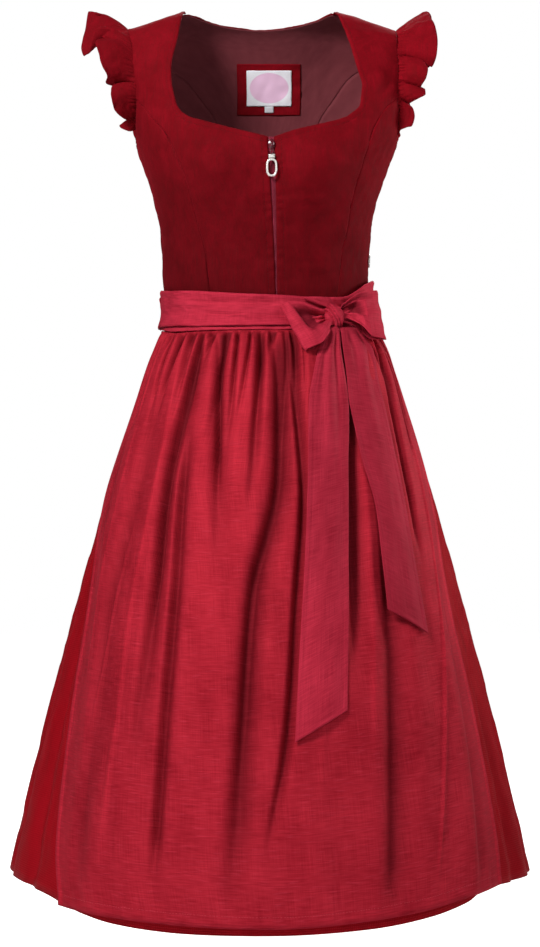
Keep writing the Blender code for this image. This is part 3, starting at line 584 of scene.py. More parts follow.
def label_cloth():
    """White woven label with a plain pale oval in its middle."""
    made = Finish("label cloth", "UV", Specular_IOR_Level=0.35, Sheen_Weight=0.1)
    across, along, _ = made.axes()
    x, y = (made.math("DIVIDE", made.math("SUBTRACT", way, middle), half)
            for way, middle, half in ((across, 0.030, 0.0268), (along, 0.0235, 0.0202)))
    round_ = made.plus(made.times(x, x), made.times(y, y))
    fine = made.noise((0.5, 1.6, 1), 2)
    ground = made.span(fine, tone(236, 235, 243), tone(252, 251, 255))
    oval = made.span(round_, 1.0, 0.0, 0.9, 1.0)
    colour = made.mix(oval, ground, tone(240, 198, 226))
    return made.done(colour, made.span(fine, 0.5, 0.7), made.bump(fine, 0.3, 0.1))


def thread(name, light, dark):
    made = Finish(name, Specular_IOR_Level=0.12)
    twist = made.noise((0.5, 0.5, 0.9), 1)
    colour = made.span(twist, dark, light)
    return made.done(colour, made.span(twist, 0.4, 0.6))


def lacquer():
    made = Finish("lacquer", Coat_Weight=0.8, Coat_Roughness=0.06, Specular_IOR_Level=0.6)
    cloudy = made.noise((3, 3, 3), 2)
    colour = made.span(cloudy, tone(74, 10, 24), tone(104, 16, 34))
    return made.done(colour, made.span(cloudy, 0.16, 0.26), made.bump(cloudy, 0.1, 0.1))


def silver():
    made = Finish("silver", Metallic=0.55, Specular_IOR_Level=0.7)
    worn = made.noise((2.2, 2.2, 2.2), 3)
    scratches = made.noise((0.3, 0.3, 3), 2)
    colour = made.span(worn, tone(238, 236, 230), tone(252, 251, 247))
    rough = made.span(scratches, 0.26, 0.4)
    return made.done(colour, rough, made.bump(scratches, 0.06, 0.05))


# each finish, by the name that a piece asks for it by
FINISHES = {
    "velvet": velvet(),
    "lining": plain_weave("lining", tone(122, 53, 60), tone(110, 45, 52)),
    "skirt": jacquard(),
    "apron": shantung("apron cloth", tone(193, 42, 59), tone(147, 20, 35)),
    "ribbon": shantung("ribbon cloth", tone(202, 51, 74), tone(156, 28, 47), 0.5),
    "tape": plain_weave("zip tape", tone(146, 42, 62), tone(112, 26, 42), 1.0, 0.6),
    "label": label_cloth(),
    "tab": plain_weave("size tab cloth", tone(238, 238, 242), tone(216, 216, 222), 0.6, 0.3),
    "velvet thread": thread("velvet thread", tone(84, 5, 13), tone(62, 2, 8)),
    "apron thread": thread("apron thread", tone(206, 62, 80), tone(160, 36, 52)),
    "lacquer": lacquer(),
    "silver": silver(),
}


# Bodice

VELVET, LINING = 1.5, 1.0
VELVET_WALL, LINING_WALL = 1.2, 0.7
SEAM = 0.3
LINING_DEPTH = 1.0
# the deepest and the highest that creases and puckers may stand
VELVET_RELIEF = (-2.2, 1.8)
CHEST_GRID, STRAP_GRID, SIDE_GRID, BACK_GRID = (64, 84), (24, 48), (40, 76), (96, 100)
BACK_CUT = (0.35, 0.4)
SHOULDER_TIP = {"left": -172, "right": 175}
NECK_POINT = {"left": -97, "right": 94}
STRAP_ROOT = {"left": (-160, -120), "right": (176, -117)}
NECK_CORNER = {"left": (-99, -146), "right": (110, -152)}
# height, x of the left seam, x of the right seam
FRONT_SEAM = (
    (-146, -139, 153),
    (-176, -117, 140),
    (-225, -96, 124),
    (-280, -80, 111),
    (-322, -69, 103),
    (-388, -61, 97),
)
ARMHOLE_FRONT = (
    (-92, -161, 177),
    (-65, -164, 176.5),
    (-42, -168, 175.5),
)
ARMHOLE_LOW = ((1, 20), (1.5, 37))
NECK_SIDE = (
    (-136, -105, 125.5),
    (-112, -111, 128.5),
    (-89, -112, 122),
    (-56, -106, 113),
)
NECK_LOW = {
    "left": ((-87, -154), (-68, -160), (-29, -171)),
    "right": ((98, -157), (65, -166.5), (40, -173)),
}
# height, x of the zip, half width of the opening
ZIP_LINE = (
    (-181, 13.5, 3.5),
    (-235, 16.0, 3.2),
    (-295, 18.5, 1.9),
    (-388, 21.5, 0.7),
)
# height, half spacing of the two back seams
BACK_SEAM = (
    (-56, 139),
    (-70, 113),
    (-97, 90),
    (-126, 70),
    (-170, 58),
    (-230, 50),
    (-300, 44),
    (-388, 40),
)
BACK_SEAM_TOP = (-45, 158)
BACK_ARMHOLE = ((-80, 160), (-120, 165), (-150, 167))
BACK_NECK_LEVEL = -12
BACK_NECK = ((70, -4.5), (38, -9.5))
BACK_SHARE = 9 / 12
SIDES = ("left", "right")
# x and z of both ends, height, half width
FRONT_CREASES = (
    (150, -128, 168, -100, -1.4, 4),
    (140, -118, 160, -88, 1.0, 5),
    (120, -96, 150, -112, -1.1, 5),
    (128, -60, 165, -74, -0.8, 6),
    (-148, -112, -122, -128, -1.0, 5),
    (-160, -80, -128, -92, -0.8, 6),
    (-150, -58, -112, -50, 0.7, 7),
    (-60, -330, -10, -352, -0.8, 8),
    (28, -340, 86, -358, -0.9, 8),
    (34, -318, 96, -330, 0.7, 8),
    (-92, -250, -58, -232, -0.6, 8),
    (60, -246, 108, -262, -0.7, 9),
    (26, -200, 42, -236, -0.8, 5),
    (-4, -206, -14, -240, -0.7, 5),
)
BACK_CREASES = (
    (-30, -340, 30, -350, -1.0, 9),
    (-90, -300, -40, -322, -0.8, 9),
    (44, -310, 92, -290, -0.8, 9),
    (-120, -90, -80, -60, -0.9, 8),
    (84, -70, 124, -96, -0.9, 8),
    (-20, -180, 44, -196, 0.7, 12),
    (-60, -240, 10, -226, -0.6, 12),
)
EDGE_SAMPLES = 260


def side_of(side):
    return -1 if side == "left" else 1


def pick(row, side):
    return row[1] if side == "left" else row[2]


def front_seam(side):
    points = [(pick(row, side), row[0]) for row in reversed(FRONT_SEAM)] + [STRAP_ROOT[side]]
    return route([spot(x, z) for x, z in points])


def front_armhole(side):
    points = [STRAP_ROOT[side]] + [(pick(row, side), row[0]) for row in ARMHOLE_FRONT]
    return route([spot(x, z) for x, z in points] + [tip(side)])


def tip(side, back=False):
    angle = spot(SHOULDER_TIP[side], -SHOULDER_SLOPE * (abs(SHOULDER_TIP[side]) - SHOULDER_FLAT))[0]
    return (180 - angle if back else angle), 0


def neck(side, back=False):
    angle = spot(NECK_POINT[side], 0)[0]
    return (180 - angle if back else angle), 0


def zip_edge(side, half=None):
    sign = side_of(side)
    return route([spot(x + sign * (gap if half is None else half), z)
                  for z, x, gap in reversed(ZIP_LINE)])


def side_seam(side, back):
    angle = 270 if back and side == "left" else 90 * side_of(side)
    return route([(angle, WAIST), (angle, -322), (angle, -244), (angle, UNDERARM)])


def back_x(half, z, side):
    return float(ring(z)[0]) + side_of(side) * half


def back_seam(side):
    rows = list(reversed(BACK_SEAM)) + [BACK_SEAM_TOP]
    return route([spot(back_x(half, z, side), z, True) for z, half in rows])


def back_armhole_top(side):
    z, half = BACK_SEAM_TOP
    return route([spot(back_x(half, z, side), z, True), tip(side, True)])


class Edge:
    """One edge of a panel: a line on the figure, and what the sewing does to the cloth beside it."""

    def __init__(self, kind, line):
        self.kind = kind
        spots = line(np.linspace(0, 1, EDGE_SAMPLES))
        self.points = surface(spots[:, 0], spots[:, 1])
        self.along = run_along(self.points)
        self.ways = unit(np.gradient(self.points, axis=0))

    def near(self, points):
        """How far points lie from the edge, and how far along it."""
        gaps = points[:, None, :] - self.points[None, :, :]
        index = np.argmin(np.einsum("ijk,ijk->ij", gaps, gaps), axis=1)
        gap = points - self.points[index]
        way = self.ways[index]
        reach = self.along[-1] / (EDGE_SAMPLES - 1)
        run = np.clip(np.einsum("ij,ij->i", gap, way), -reach, reach)
        return np.linalg.norm(gap - way * run[:, None], axis=1), self.along[index] + run

    def relief(self, points):
        away, along = self.near(points)
        groove, deep, stitched, pitch, pucker, reach = EDGE_KINDS[self.kind]
        drift = 1.7 * np.sin(TAU * along / (pitch * 4.3) + len(self.kind))
        swing = np.sin(TAU * along / pitch + drift)
        uneven = 0.6 + 0.4 * np.sin(TAU * along / 61 + 2.1)
        total = -deep * bell(away / groove)
        if stitched:
            total = total - 0.45 * bell((away - stitched) / 0.9)
            total = total + pucker * swing * uneven * bell((away - stitched * 0.55) / (stitched * 0.5))
        return total + pucker * 0.7 * swing * uneven * np.exp(-away / reach)


# half width and depth of the dip at the edge, distance of its stitches, pitch, height and reach of
# its puckers
EDGE_KINDS = {
    "seam": (1.0, 0.4, 0, 11, 0.4, 6),
    "neck": (1.1, 0.8, 7.0, 9, 0.35, 4),
    "armhole": (1.2, 0.5, 3.6, 7, 0.5, 8),
    "zip": (1.3, 0.9, 9.0, 11.7, 0.8, 7),
    "shoulder": (1.4, 0.3, 0, 13, 0.1, 6),
}


def velvet_relief(points, edges, seed):
    total = 0.45 * waves(points, 46, seed) + 0.2 * waves(points, 17, seed + 1)
    for edge in edges:
        total = total + edge.relief(points)
    rows = np.where(points[:, 1] < 0, strokes(points[:, 0], points[:, 2], FRONT_CREASES),
                    strokes(points[:, 0], points[:, 2], BACK_CREASES))
    return np.clip(total + rows, *VELVET_RELIEF)


def lining_relief(points, edges, seed):
    total = 0.22 * waves(points, 34, seed) + 0.06 * waves(points, 12, seed + 1) - LINING_DEPTH
    for edge in edges:
        away, _ = edge.near(points)
        total = total + 0.5 * bell(away / 1.3)
    return np.clip(total, -LINING_DEPTH - 0.8, -LINING_DEPTH + 0.2)


def panel(patch, edges, relief=velvet_relief, depth=0.0, hold=None, seed=3, cut=(0.2, 0.3)):
    """Lay a panel on the figure with the relief of its edges. hold keeps it in front or behind."""
    def lay(s, t, lift):
        angle, level = patch(s, t)
        shape = relief(surface(angle, level), edges, seed)
        places = wrap(angle, level, shape - depth + lift)
        if hold:
            y = places[:, 1]
            places[:, 1] = np.minimum(y, 0) if hold == "front" else np.maximum(y, 0)
        return places, pair(s * cut[0], t * cut[1])
    return lay


def front(side):
    seam, edge, armhole = front_seam(side), zip_edge(side), front_armhole(side)
    corner = spot(*NECK_CORNER[side])
    root = straight(seam(HEAD), corner)
    low = route([corner] + [spot(x, z) for x, z in NECK_LOW[side]] + [tuple(edge(HEAD))])
    top = join(root, low, STRAP_GRID[0] / CHEST_GRID[0])
    chest = fill(straight(seam(FOOT), edge(FOOT)), top, seam, edge)
    inner = route([corner] + [spot(pick(row, side), row[0]) for row in NECK_SIDE] + [neck(side)])
    ridge = straight(tip(side), neck(side))
    strap = fill(root, ridge, armhole, inner)
    edges = [Edge("seam", seam), Edge("zip", edge), Edge("neck", low), Edge("neck", inner),
             Edge("armhole", armhole), Edge("shoulder", ridge)]
    seed = 11 if side == "left" else 17
    patches = [(*size, panel(patch, edges, hold="front", seed=seed))
               for size, patch in ((CHEST_GRID, chest), (STRAP_GRID, strap))]
    made = cloth(f"bodice_front_{side}", patches, "velvet", VELVET_WALL)
    return edges


def side_panel(side, back):
    """A side front or a side back, with its lining where that shows."""
    under = side_seam(side, back)
    if back:
        seam = back_seam(side)
        armhole = [spot(back_x(half, z, side), z, True) for z, half in BACK_ARMHOLE]
    else:
        seam = front_seam(side)
        x, z = STRAP_ROOT[side]
        armhole = [spot(x + side_of(side) * aside, z - down) for aside, down in ARMHOLE_LOW]
    top = route([tuple(seam(HEAD))] + armhole + [tuple(under(HEAD))])
    patch = fill(straight(seam(FOOT), under(FOOT)), top, seam, under)
    edges = [Edge("seam", seam), Edge("seam", under), Edge("armhole", top)]
    seed = 23 + side_of(side) + (4 if back else 0)
    name = f"bodice_side_{'back' if back else 'front'}_{side}"
    made = cloth(name, [(*SIDE_GRID, panel(patch, edges, seed=seed))], "velvet", VELVET_WALL)
    if back:
        lay = panel(patch, edges, lining_relief, VELVET + SEAM, seed=seed + 8)
        lined = cloth(f"lining_side_{side}", [(*SIDE_GRID, lay)], "lining", LINING_WALL)
    return edges


def back():
    left, right = (join(back_seam(side), back_armhole_top(side), BACK_SHARE) for side in SIDES)
    spots = [tip("right", True), neck("right", True)]
    spots += [spot(half, z, True) for half, z in BACK_NECK]
    spots.append((180, BACK_NECK_LEVEL))
    spots += [spot(-half, z, True) for half, z in reversed(BACK_NECK)]
    spots += [neck("left", True), tip("left", True)]
    patch = fill(straight(right(FOOT), left(FOOT)), route(spots), right, left)
    neckline = route(spots[1:-1])
    edges = [Edge("seam", back_seam(side)) for side in SIDES] + [Edge("neck", neckline)]
    for side in SIDES:
        edges.append(Edge("armhole", back_armhole_top(side)))
        edges.append(Edge("shoulder", straight(tip(side, True), neck(side, True))))
    lay = panel(patch, edges, hold="back", seed=31, cut=BACK_CUT)
    made = cloth("bodice_back", [(*BACK_GRID, lay)], "velvet", VELVET_WALL)
    lay = panel(patch, edges, lining_relief, VELVET + SEAM, "back", 37, BACK_CUT)
    lined = cloth("lining_back", [(*BACK_GRID, lay)], "lining", LINING_WALL)
    return edges


def inset_line(edge, distance, towards):
    """An edge's points moved sideways into its panel."""
    outward = unit(edge.points * [1, 1, 0] - [FIGURE_MIDDLE, 0, 0])
    aside = unit(np.cross(outward, edge.ways))
    flip = np.sign(np.einsum("ij,ij->i", towards - edge.points, aside))
    turn = 1.0 if np.sum(flip) >= 0 else -1.0
    return edge.points + aside * turn * distance


def bodice_stitches(named_edges):
    """Topstitching beside the neckline, the armholes and the zip."""
    rows = []
    for name, edges in named_edges:
        made = bpy.data.objects[name + FINE]
        surface_tree = tree_of(made)
        middle = np.mean(array_of(made.data.vertices, "co", 3), axis=0) / MM
        for edge in edges:
            distance = EDGE_KINDS[edge.kind][2]
            if distance:
                rows.append((inset_line(edge, distance, middle), surface_tree))
    stitch_rows("bodice_stitching", "velvet thread", rows)


def bodice():
    named = []
    for side in SIDES:
        named.append((f"bodice_front_{side}", front(side)))
        named.append((f"bodice_side_front_{side}", side_panel(side, False)))
        named.append((f"bodice_side_back_{side}", side_panel(side, True)))
    named.append(("bodice_back", back()))
    bodice_stitches(named)


# Labels inside the back

LABEL_GAP = 1.5
LABEL_BASE = VELVET + LINING + 2 * SEAM + LABEL_GAP
LABEL_WALL = 1.1
# x from, x to, top, bottom, layers below, finish
PATCHES = {
    "label_patch": (-32, 53, -50, -116, 0, "velvet"),
    "label": (-19, 41, -58, -104, 1, "label"),
    "size_tab": (5.5, 17, -104.6, -112.5, 1, "tab"),
}


def labels():
    for name, (x0, x1, top, bottom, layers, finish) in PATCHES.items():
        depth = LABEL_BASE + layers * (LABEL_WALL + 2 * SEAM)
        low, high = ([spot(x, z, True) for x in (x1, x0)] for z in (bottom, top))
        patch = fill(*(straight(*ends) for ends in (low, high, *zip(low, high))))
        wide, tall = (x1 - x0), (top - bottom)

        def lay(s, t, lift):
            angle, level = patch(s, t)
            rim = np.minimum(inward(s) * wide, inward(t) * tall)
            edge = 0.5 * (1 - ease(rim / 1.6)) + 0.28 * bell((rim - 2.6) / 0.7)
            ripple = 0.22 * waves(pair(s * wide, t * tall), 16, 51 + layers)
            places = wrap(angle, level, edge + ripple - depth + lift)
            return places, pair((1 - s) * wide * MM, t * tall * MM)

        columns, rows = max(int(wide), 12), max(int(tall), 10)
        made = cloth(name, [(columns, rows, lay)], finish, LABEL_WALL - 0.3)


# Skirt

SKIRT_TOP = WAIST - SEAM
HEM_MEAN = -1115
# angle, hem level
SKIRT_HEM = Table((
    (-90, -1107), (-66, -1105), (-54, -1108), (-43, -1119), (-32, -1127), (-17, -1130.5), (0, -1130),
    (20, -1126.5), (32, -1121), (44, -1111), (52, -1099), (66, -1103), (90, -1110),
    (135, -1110), (180, -1111), (225, -1109), (270, -1107),
))
# angle at the waist, angle at the hem, depth, width, level where it starts, level where it is full
BACK_FOLDS = (
    (101, 99, 9, 17, -420, -640),
    (116, 119, 13, 20, -410, -620),
    (131, 134, 10, 15, -440, -700),
    (146, 150, 15, 22, -400, -600),
    (160, 161, 9, 15, -430, -760),
    (176, 175, 14, 20, -405, -610),
    (190, 192, 11, 17, -430, -700),
    (205, 204, 15, 22, -400, -600),
    (221, 219, 10, 16, -440, -720),
    (236, 233, 13, 20, -410, -640),
    (251, 249, 9, 16, -430, -680),
)
SIDE_FOLDS = (
    (-78, -62, 8, 17, -560, -900),
    (-84, -79, 5, 15, -640, -950),
    (80, 67, 8, 18, -560, -900),
    (86, 81, 5, 14, -660, -950),
)
FOLD_TOP, FOLD_FOOT = -388, -1120
SKIRT_CUT = (0.97, 0.74)
SKIRT_BACK_GRID, SKIRT_FRONT_GRID = (300, 84), (200, 84)
HEM_TURN = 30
SKIRT_WALL = 0.9
# one half of the skirt in mm, at its widest and along its hem
HALF_SKIRT, HALF_HEM = 950, 966
# on the left and on the right
SIDE_HUG = (3.6, 2.4)
# angle of the hips from the front, how far the hug spreads from it, the level where it ends
HIP, HUG_SPREAD, HUG_END, HUG_FADE = 90, 38, -640, 150


def reach(level):
    """The figure's mean radius at one level."""
    _, half, front_depth, back_depth, _ = ring(level)
    return (half + (front_depth + back_depth) / 2) / 2


def trough(angle, level, rows):
    """How far the folds of a table draw the cloth in."""
    drawn = 0.0
    per_degree = np.radians(reach(level))
    down = (level - FOLD_TOP) / (FOLD_FOOT - FOLD_TOP)
    for waist_angle, hem_angle, depth, width, start, full in rows:
        centre = between(waist_angle, hem_angle, down)
        away = (angle - centre) * per_degree / width
        drawn = drawn + depth * ease((level - start) / (full - start)) * bell(away)
    return drawn


def gather_rows(count, seed, depth, length, width):
    """Uneven gathers along a seam: share of the width, depth, length down, half width, drift."""
    random = np.random.default_rng(seed)
    rows = []
    for i in range(count):
        share = (i + 0.5 + random.uniform(-0.42, 0.42)) / count
        rows.append((share, depth * random.uniform(0.3, 1.3),
                     length * random.uniform(0.25, 1.75) ** 1.5,
                     width * random.uniform(0.55, 1.5), random.uniform(-0.016, 0.016)))
    return rows


def gathered(s, drop, wide, rows):
    """The dips of gathers, each narrow and deep at the seam and dying out below it."""
    total = 0.0
    for share, depth, length, width, drift in rows:
        down = drop / length
        away = (s - share - drift * down) * wide / (width * (1 + 0.6 * down))
        total = total + depth * ease(drop / 4) * ease(1 - down * 0.8) * bell(away)
    return total


def skirt_fold(angle, level):
    left, right = APRON_EDGE.columns(-level)
    bare = ease(np.maximum(left - angle, angle - right) / 5)
    plain = -trough(angle, level, SIDE_FOLDS) * bare
    return np.where(angle > 90, -trough(angle, level, BACK_FOLDS), plain)


def side_hug(angle, level):
    """How far the cloth is drawn in at the hips, where the apron's ends lie on the skirt."""
    turned = (angle + 180) % 360 - 180
    amount = np.where(turned < 0, *SIDE_HUG) * bell((np.abs(turned) - HIP) / HUG_SPREAD)
    return amount * ease((SKIRT_TOP - level) / 30) * ease((level - HUG_END) / HUG_FADE)


def skirt(name, start, size, gathers, creases):
    """One half of the skirt, from side seam to side seam."""
    def lay(s, t, lift):
        angle = start + 180 * s
        foot = SKIRT_HEM.read(angle)
        level = between(SKIRT_TOP, foot, (1 - t) ** 1.25)
        drop = SKIRT_TOP - level
        wide = math.pi * reach(level)
        flat = pair(s * HALF_SKIRT, level)
        shape = skirt_fold(angle, level) - gathered(s, drop, wide, gathers) * ease(drop / 12)
        shape = shape + strokes(angle, level / 10, creases)
        shape = shape + 0.8 * ease(drop / 80) * waves(flat, 70, 61) + 0.3 * waves(flat, 24, 62)
        shape = shape + hem_relief(level - foot, s * HALF_HEM, HEM_TURN)
        near_seam = inward(s) * wide
        shape = np.where((angle < 90) & (drop > 10), np.minimum(shape, 0.6), shape)
        shape = shape * ease(near_seam / 14) - 0.8 * bell(near_seam / 1.3)
        under = shape - side_hug(angle, level)
        return wrap(angle, level, under + lift), pair(s * SKIRT_CUT[0], t * SKIRT_CUT[1])

    made = cloth(name, [(*size, lay)], "skirt", SKIRT_WALL)


def hem_relief(above, along, turn):
    """A turned hem: a little thicker below its stitches, with puckers above them."""
    swing = np.sin(TAU * along / 17 + 1.3 * np.sin(TAU * along / 71))
    past = above - turn
    return 0.5 * (1 - ease((past + 1) / 2)) - 0.4 * bell(past) + 0.35 * swing * bell(past / 9)


# angle and level/10 of both ends, height, half width in degrees
BACK_CREASES_LOW = (
    (124, -50, 126, -110, 2.0, 2.2),
    (139, -58, 142, -104, 1.6, 2.0),
    (153, -48, 154, -92, 2.2, 2.4),
    (168, -60, 168, -110, -2.0, 2.2),
    (183, -50, 184, -100, 2.0, 2.2),
    (198, -56, 199, -110, 1.8, 2.0),
    (213, -50, 212, -96, 2.0, 2.4),
    (229, -62, 227, -110, -1.8, 2.0),
    (244, -52, 242, -100, 1.8, 2.2),
    (259, -60, 257, -108, 1.5, 2.0),
    (108, -56, 108, -104, 1.6, 2.2),
)
SIDE_CREASES_LOW = (
    (-70, -78, -66, -109, 1.6, 1.8),
    (-74, -60, -74, -100, -1.4, 1.8),
    (-58, -96, -57, -110, -1.8, 1.4),
    (72, -76, 72, -109, 1.5, 1.8),
    (77, -62, 76, -100, -1.6, 1.8),
    (63.5, -100, 64.5, -108, -3.0, 0.9),
)


# how many, seed, depth, length down, half width
BACK_GATHERS = (64, 5, 3.2, 90, 3.6)
FRONT_GATHERS = (52, 6, 1.5, 50, 3.6)


def skirts():
    skirt("skirt_back", 90, SKIRT_BACK_GRID, gather_rows(*BACK_GATHERS), BACK_CREASES_LOW)
    skirt("skirt_front", -90, SKIRT_FRONT_GRID, gather_rows(*FRONT_GATHERS), SIDE_CREASES_LOW)


# Apron

BAND_TOP, BAND_FOOT = -380, -421.8
BAND_ANGLE = 87
BAND_OUT = 2.4
BAND_FLARE = 2.8
APRON_EDGE_EASE = 14
# from this angle to the front the apron comes to stand off the skirt, over this many degrees
APRON_SIDE, APRON_SIDE_EASE = 86, 40
# where the puff under the band begins at the right, and over how many degrees
PUFF_SIDE, PUFF_SIDE_EASE = 55, 25
# how far the band's foot rises, from which angle and over how many degrees
BAND_RISE, RISE_START, RISE_RUN = 7.5, 48, 36
APRON_TOP = BAND_FOOT - SEAM
# drop below the shoulder line, left edge angle, right edge angle
APRON_EDGE = Table((
    (380, -87, 87), (480, -87, 86), (600, -84, 77), (650, -77, 72), (721, -67.5, 65), (792, -62.5, 62.5),
    (865, -59.8, 62), (943, -56.8, 61), (1051, -52.7, 59), (1115, -48, 56),
))
APRON_HEM = Table((
    (-60, -1112), (-46, -1117), (-17, -1121), (0, -1122.5), (19, -1117), (30, -1112), (44, -1103),
    (60, -1098),
))
# level, how far the apron may stand off the figure
APRON_LIFT = Table(((-1130, 15), (-1000, 18), (-800, 20), (-600, 20), (-500, 17), (-450, 10), (-422, 3.6)))
APRON_LOW = 3.0
# angles at 425, 600, 750, 900 and 1100 mm, depth, width, start, full from, full to, end
APRON_FOLDS = (
    (-30.5, -34.4, -32, -31.5, -31.8, 10, 9, -424, -500, -800, -990),
    (-31.5, -34.9, -32.4, -31.5, -31.8, 11, 3.4, -430, -470, -680, -820),
    (-30, -28.8, -25.8, -24.5, -23.4, 12, 6, -530, -620, -1000, -1095),
    (-22.5, -17, -14, -14, -14, 7, 8, -424, -436, -570, -740),
    (-22.5, -17.3, -14.3, -14, -14, 11, 2.6, -424, -434, -560, -650),
    (-4, -5.5, -8, -8, -8, 8, 5, -424, -440, -560, -660),
    (5, 3.5, -4.3, -5.8, -7.5, 12, 12, -424, -450, -980, -1115),
    (4.2, 2.6, -4.9, -6.4, -8.2, 9, 4.5, -440, -480, -860, -1000),
    (9, 10.5, 7, 4, -3, 12, 5, -424, -436, -920, -1060),
    (34.2, 26.6, 23, 19, 15, 15, 9, -424, -450, -700, -860),
    (40, 36, 33.5, 29.5, 24.5, 12, 14, -640, -800, -1050, -1120),
    (57, 49.5, 47, 46, 46, 12, 4, -430, -460, -620, -720),
    (-55, -46, -48, -43.5, -43.8, 7, 15, -470, -600, -1050, -1115),
    (-68, -66, -62, -57, -52, 5, 9, -470, -640, -900, -1050),
    (72, 63, 58, 54, 48, 6, 11, -640, -800, -1050, -1115),
)
FOLD_LEVELS = (-425, -600, -750, -900, -1100)
# a trough falls steeply on its left and rises gently on its right, in shares of its width
TROUGH_WALLS = (0.75, 1.25)
# thin ridges between the folds: angles at the same levels, height, half width, start, end
APRON_RIDGES = (
    (-62, -56, -54, -50, -48, 1.6, 3.0, -470, -900),
    (-39, -39, -39, -37.5, -36.5, 2.0, 4.0, -470, -1090),
    (-12, -11, -11, -10, -10, 1.0, 4.0, -440, -700),
    (16, 18, 15, 12, 9, 1.2, 4.0, -600, -1000),
    (30, 31, 28, 24, 20, 1.6, 4.0, -560, -980),
    (66, 59.5, 52, 44, 34, 3.2, 1.7, -520, -1110),
    (-44, -44, -45.7, -45, -45, 2.0, 1.7, -640, -980),
)
APRON_GRID = (336, 128)
APRON_CUT = (0.66, 0.70)
APRON_WIDTH = 600
APRON_WALL = 0.8
APRON_TURN = 13
# as the skirt's gathers
APRON_GATHERS, APRON_PUCKERS = (46, 12, 11.0, 70, 1.8), (76, 27, 3.4, 20, 1.3)
APRON_PUFF, RIGHT_PUFF = 7.0, 3.2
BAND_GRID = (260, 28)
BAND_WIDTH, BAND_CUT = 400, (0.4, 0.042)
# height of the stitches above the band's foot
BAND_STITCHES = 3
RIBBON_WALL = 0.9


def apron_share(level):
    return np.radians(sum(ring(level)[1:3]) / 2)


def beside(angles, angle, level, width):
    """How far places lie beside a fold, whose angles are those at the fold levels."""
    path = Table(list(zip(FOLD_LEVELS, angles)))
    return (angle - path.read(level)) * apron_share(level) / width


def apron_out(angle, level):
    """Distance of the apron's outer side from the figure: its lift less its troughs."""
    drawn = 0.0
    for row in APRON_FOLDS:
        depth, width, start, full, lasts, end = row[5:]
        away = beside(row[:5], angle, level, width)
        away = away / np.where(away < 0, *TROUGH_WALLS)
        there = ease((start - level) / (start - full)) * ease((level - end) / (lasts - end))
        drawn = drawn + depth * there * bell(away)
    left, right = APRON_EDGE.columns(-level)
    flat = ease(np.minimum(angle - left, right - angle) / APRON_EDGE_EASE)
    calm = ease((APRON_SIDE - np.abs(angle)) / APRON_SIDE_EASE)
    out = APRON_LOW + np.maximum(APRON_LIFT.read(level) - APRON_LOW - drawn, 0) * flat * calm
    return out, flat * calm, drawn


def apron_ridges(angle, level):
    total = 0.0
    for row in APRON_RIDGES:
        height, width, start, end = row[5:]
        fade = ease((start - level) / 60) * ease((level - end) / 120)
        total = total + height * fade * bell(beside(row[:5], angle, level, width))
    return total


def band_rise(angle):
    """How far the band's foot rises towards its ends."""
    return BAND_RISE * ease((np.abs(angle) - RISE_START) / RISE_RUN)


def apron():
    ends = APRON_EDGE.at(-HEM_MEAN)
    gathers, puckers = gather_rows(*APRON_GATHERS), gather_rows(*APRON_PUCKERS)

    def lay(s, t, lift):
        foot = APRON_HEM.read(between(*ends, s))
        top = APRON_TOP + band_rise(BAND_ANGLE * (2 * s - 1))
        level = between(top, foot, (1 - t) ** 1.3)
        left, right = APRON_EDGE.columns(-level)
        angle = between(left, right, s)
        drop = top - level
        wide = (right - left) * apron_share(level)
        out, flat, drawn = apron_out(angle, level)
        puff = APRON_PUFF * ease(drop / 7) * ease(1 - drop / 120) * (0.1 + 0.9 * flat)
        beyond = ease((angle - PUFF_SIDE) / PUFF_SIDE_EASE)
        puff = puff + RIGHT_PUFF * ease(drop / 5) * ease(1 - drop / 60) * beyond
        dips = gathered(s, drop, wide, gathers) * ease(drop / 5)
        pinched = gathered(s, drop, wide, puckers)
        ridges = apron_ridges(angle, level) * flat
        out = out + puff - dips - 0.6 * pinched + ridges
        long = pair(s * APRON_WIDTH, level) * [1, 0.16]
        out = out + flat * ease(drop / 60) * (0.6 * waves(long, 48, 71) + 0.15 * waves(long, 19, 72))
        out = out + hem_relief(level - foot, s * APRON_WIDTH, APRON_TURN)
        edge = inward(s) * wide
        out = out + 0.5 * (1 - ease(edge / 8)) - 0.5 * bell((edge - 8) / 1.2)
        out = np.maximum(out, 2.0) - side_hug(angle, level)
        # painted shade in the troughs, the gathers and the puckers; painted highlight on the ridges and in
        # a band just inside each side edge
        painted_shading = np.clip(drawn / 15, 0, 1) * flat
        painted_shading = painted_shading + 0.9 * np.clip(dips / 9, 0, 1) ** 1.3 - 0.12 * ridges
        painted_shading = painted_shading - 0.45 * bell((edge - 5) / 2.6) * ease(drop / 120)
        painted_shading = painted_shading + 0.55 * np.clip(pinched / 3, 0, 1)
        cut = pair(s * APRON_CUT[0], t * APRON_CUT[1])
        return wrap(angle, level, out + lift), cut, np.clip(painted_shading, -0.6, 1.25)

    made = cloth("apron", [(*APRON_GRID, lay)], "apron", APRON_WALL)
    angles = np.linspace(ends[0] + 1, ends[1] - 1, 240)
    line = wrap(angles, APRON_HEM.read(angles) + APRON_TURN, np.full(240, 10.0))
    return line, tree_of(made)


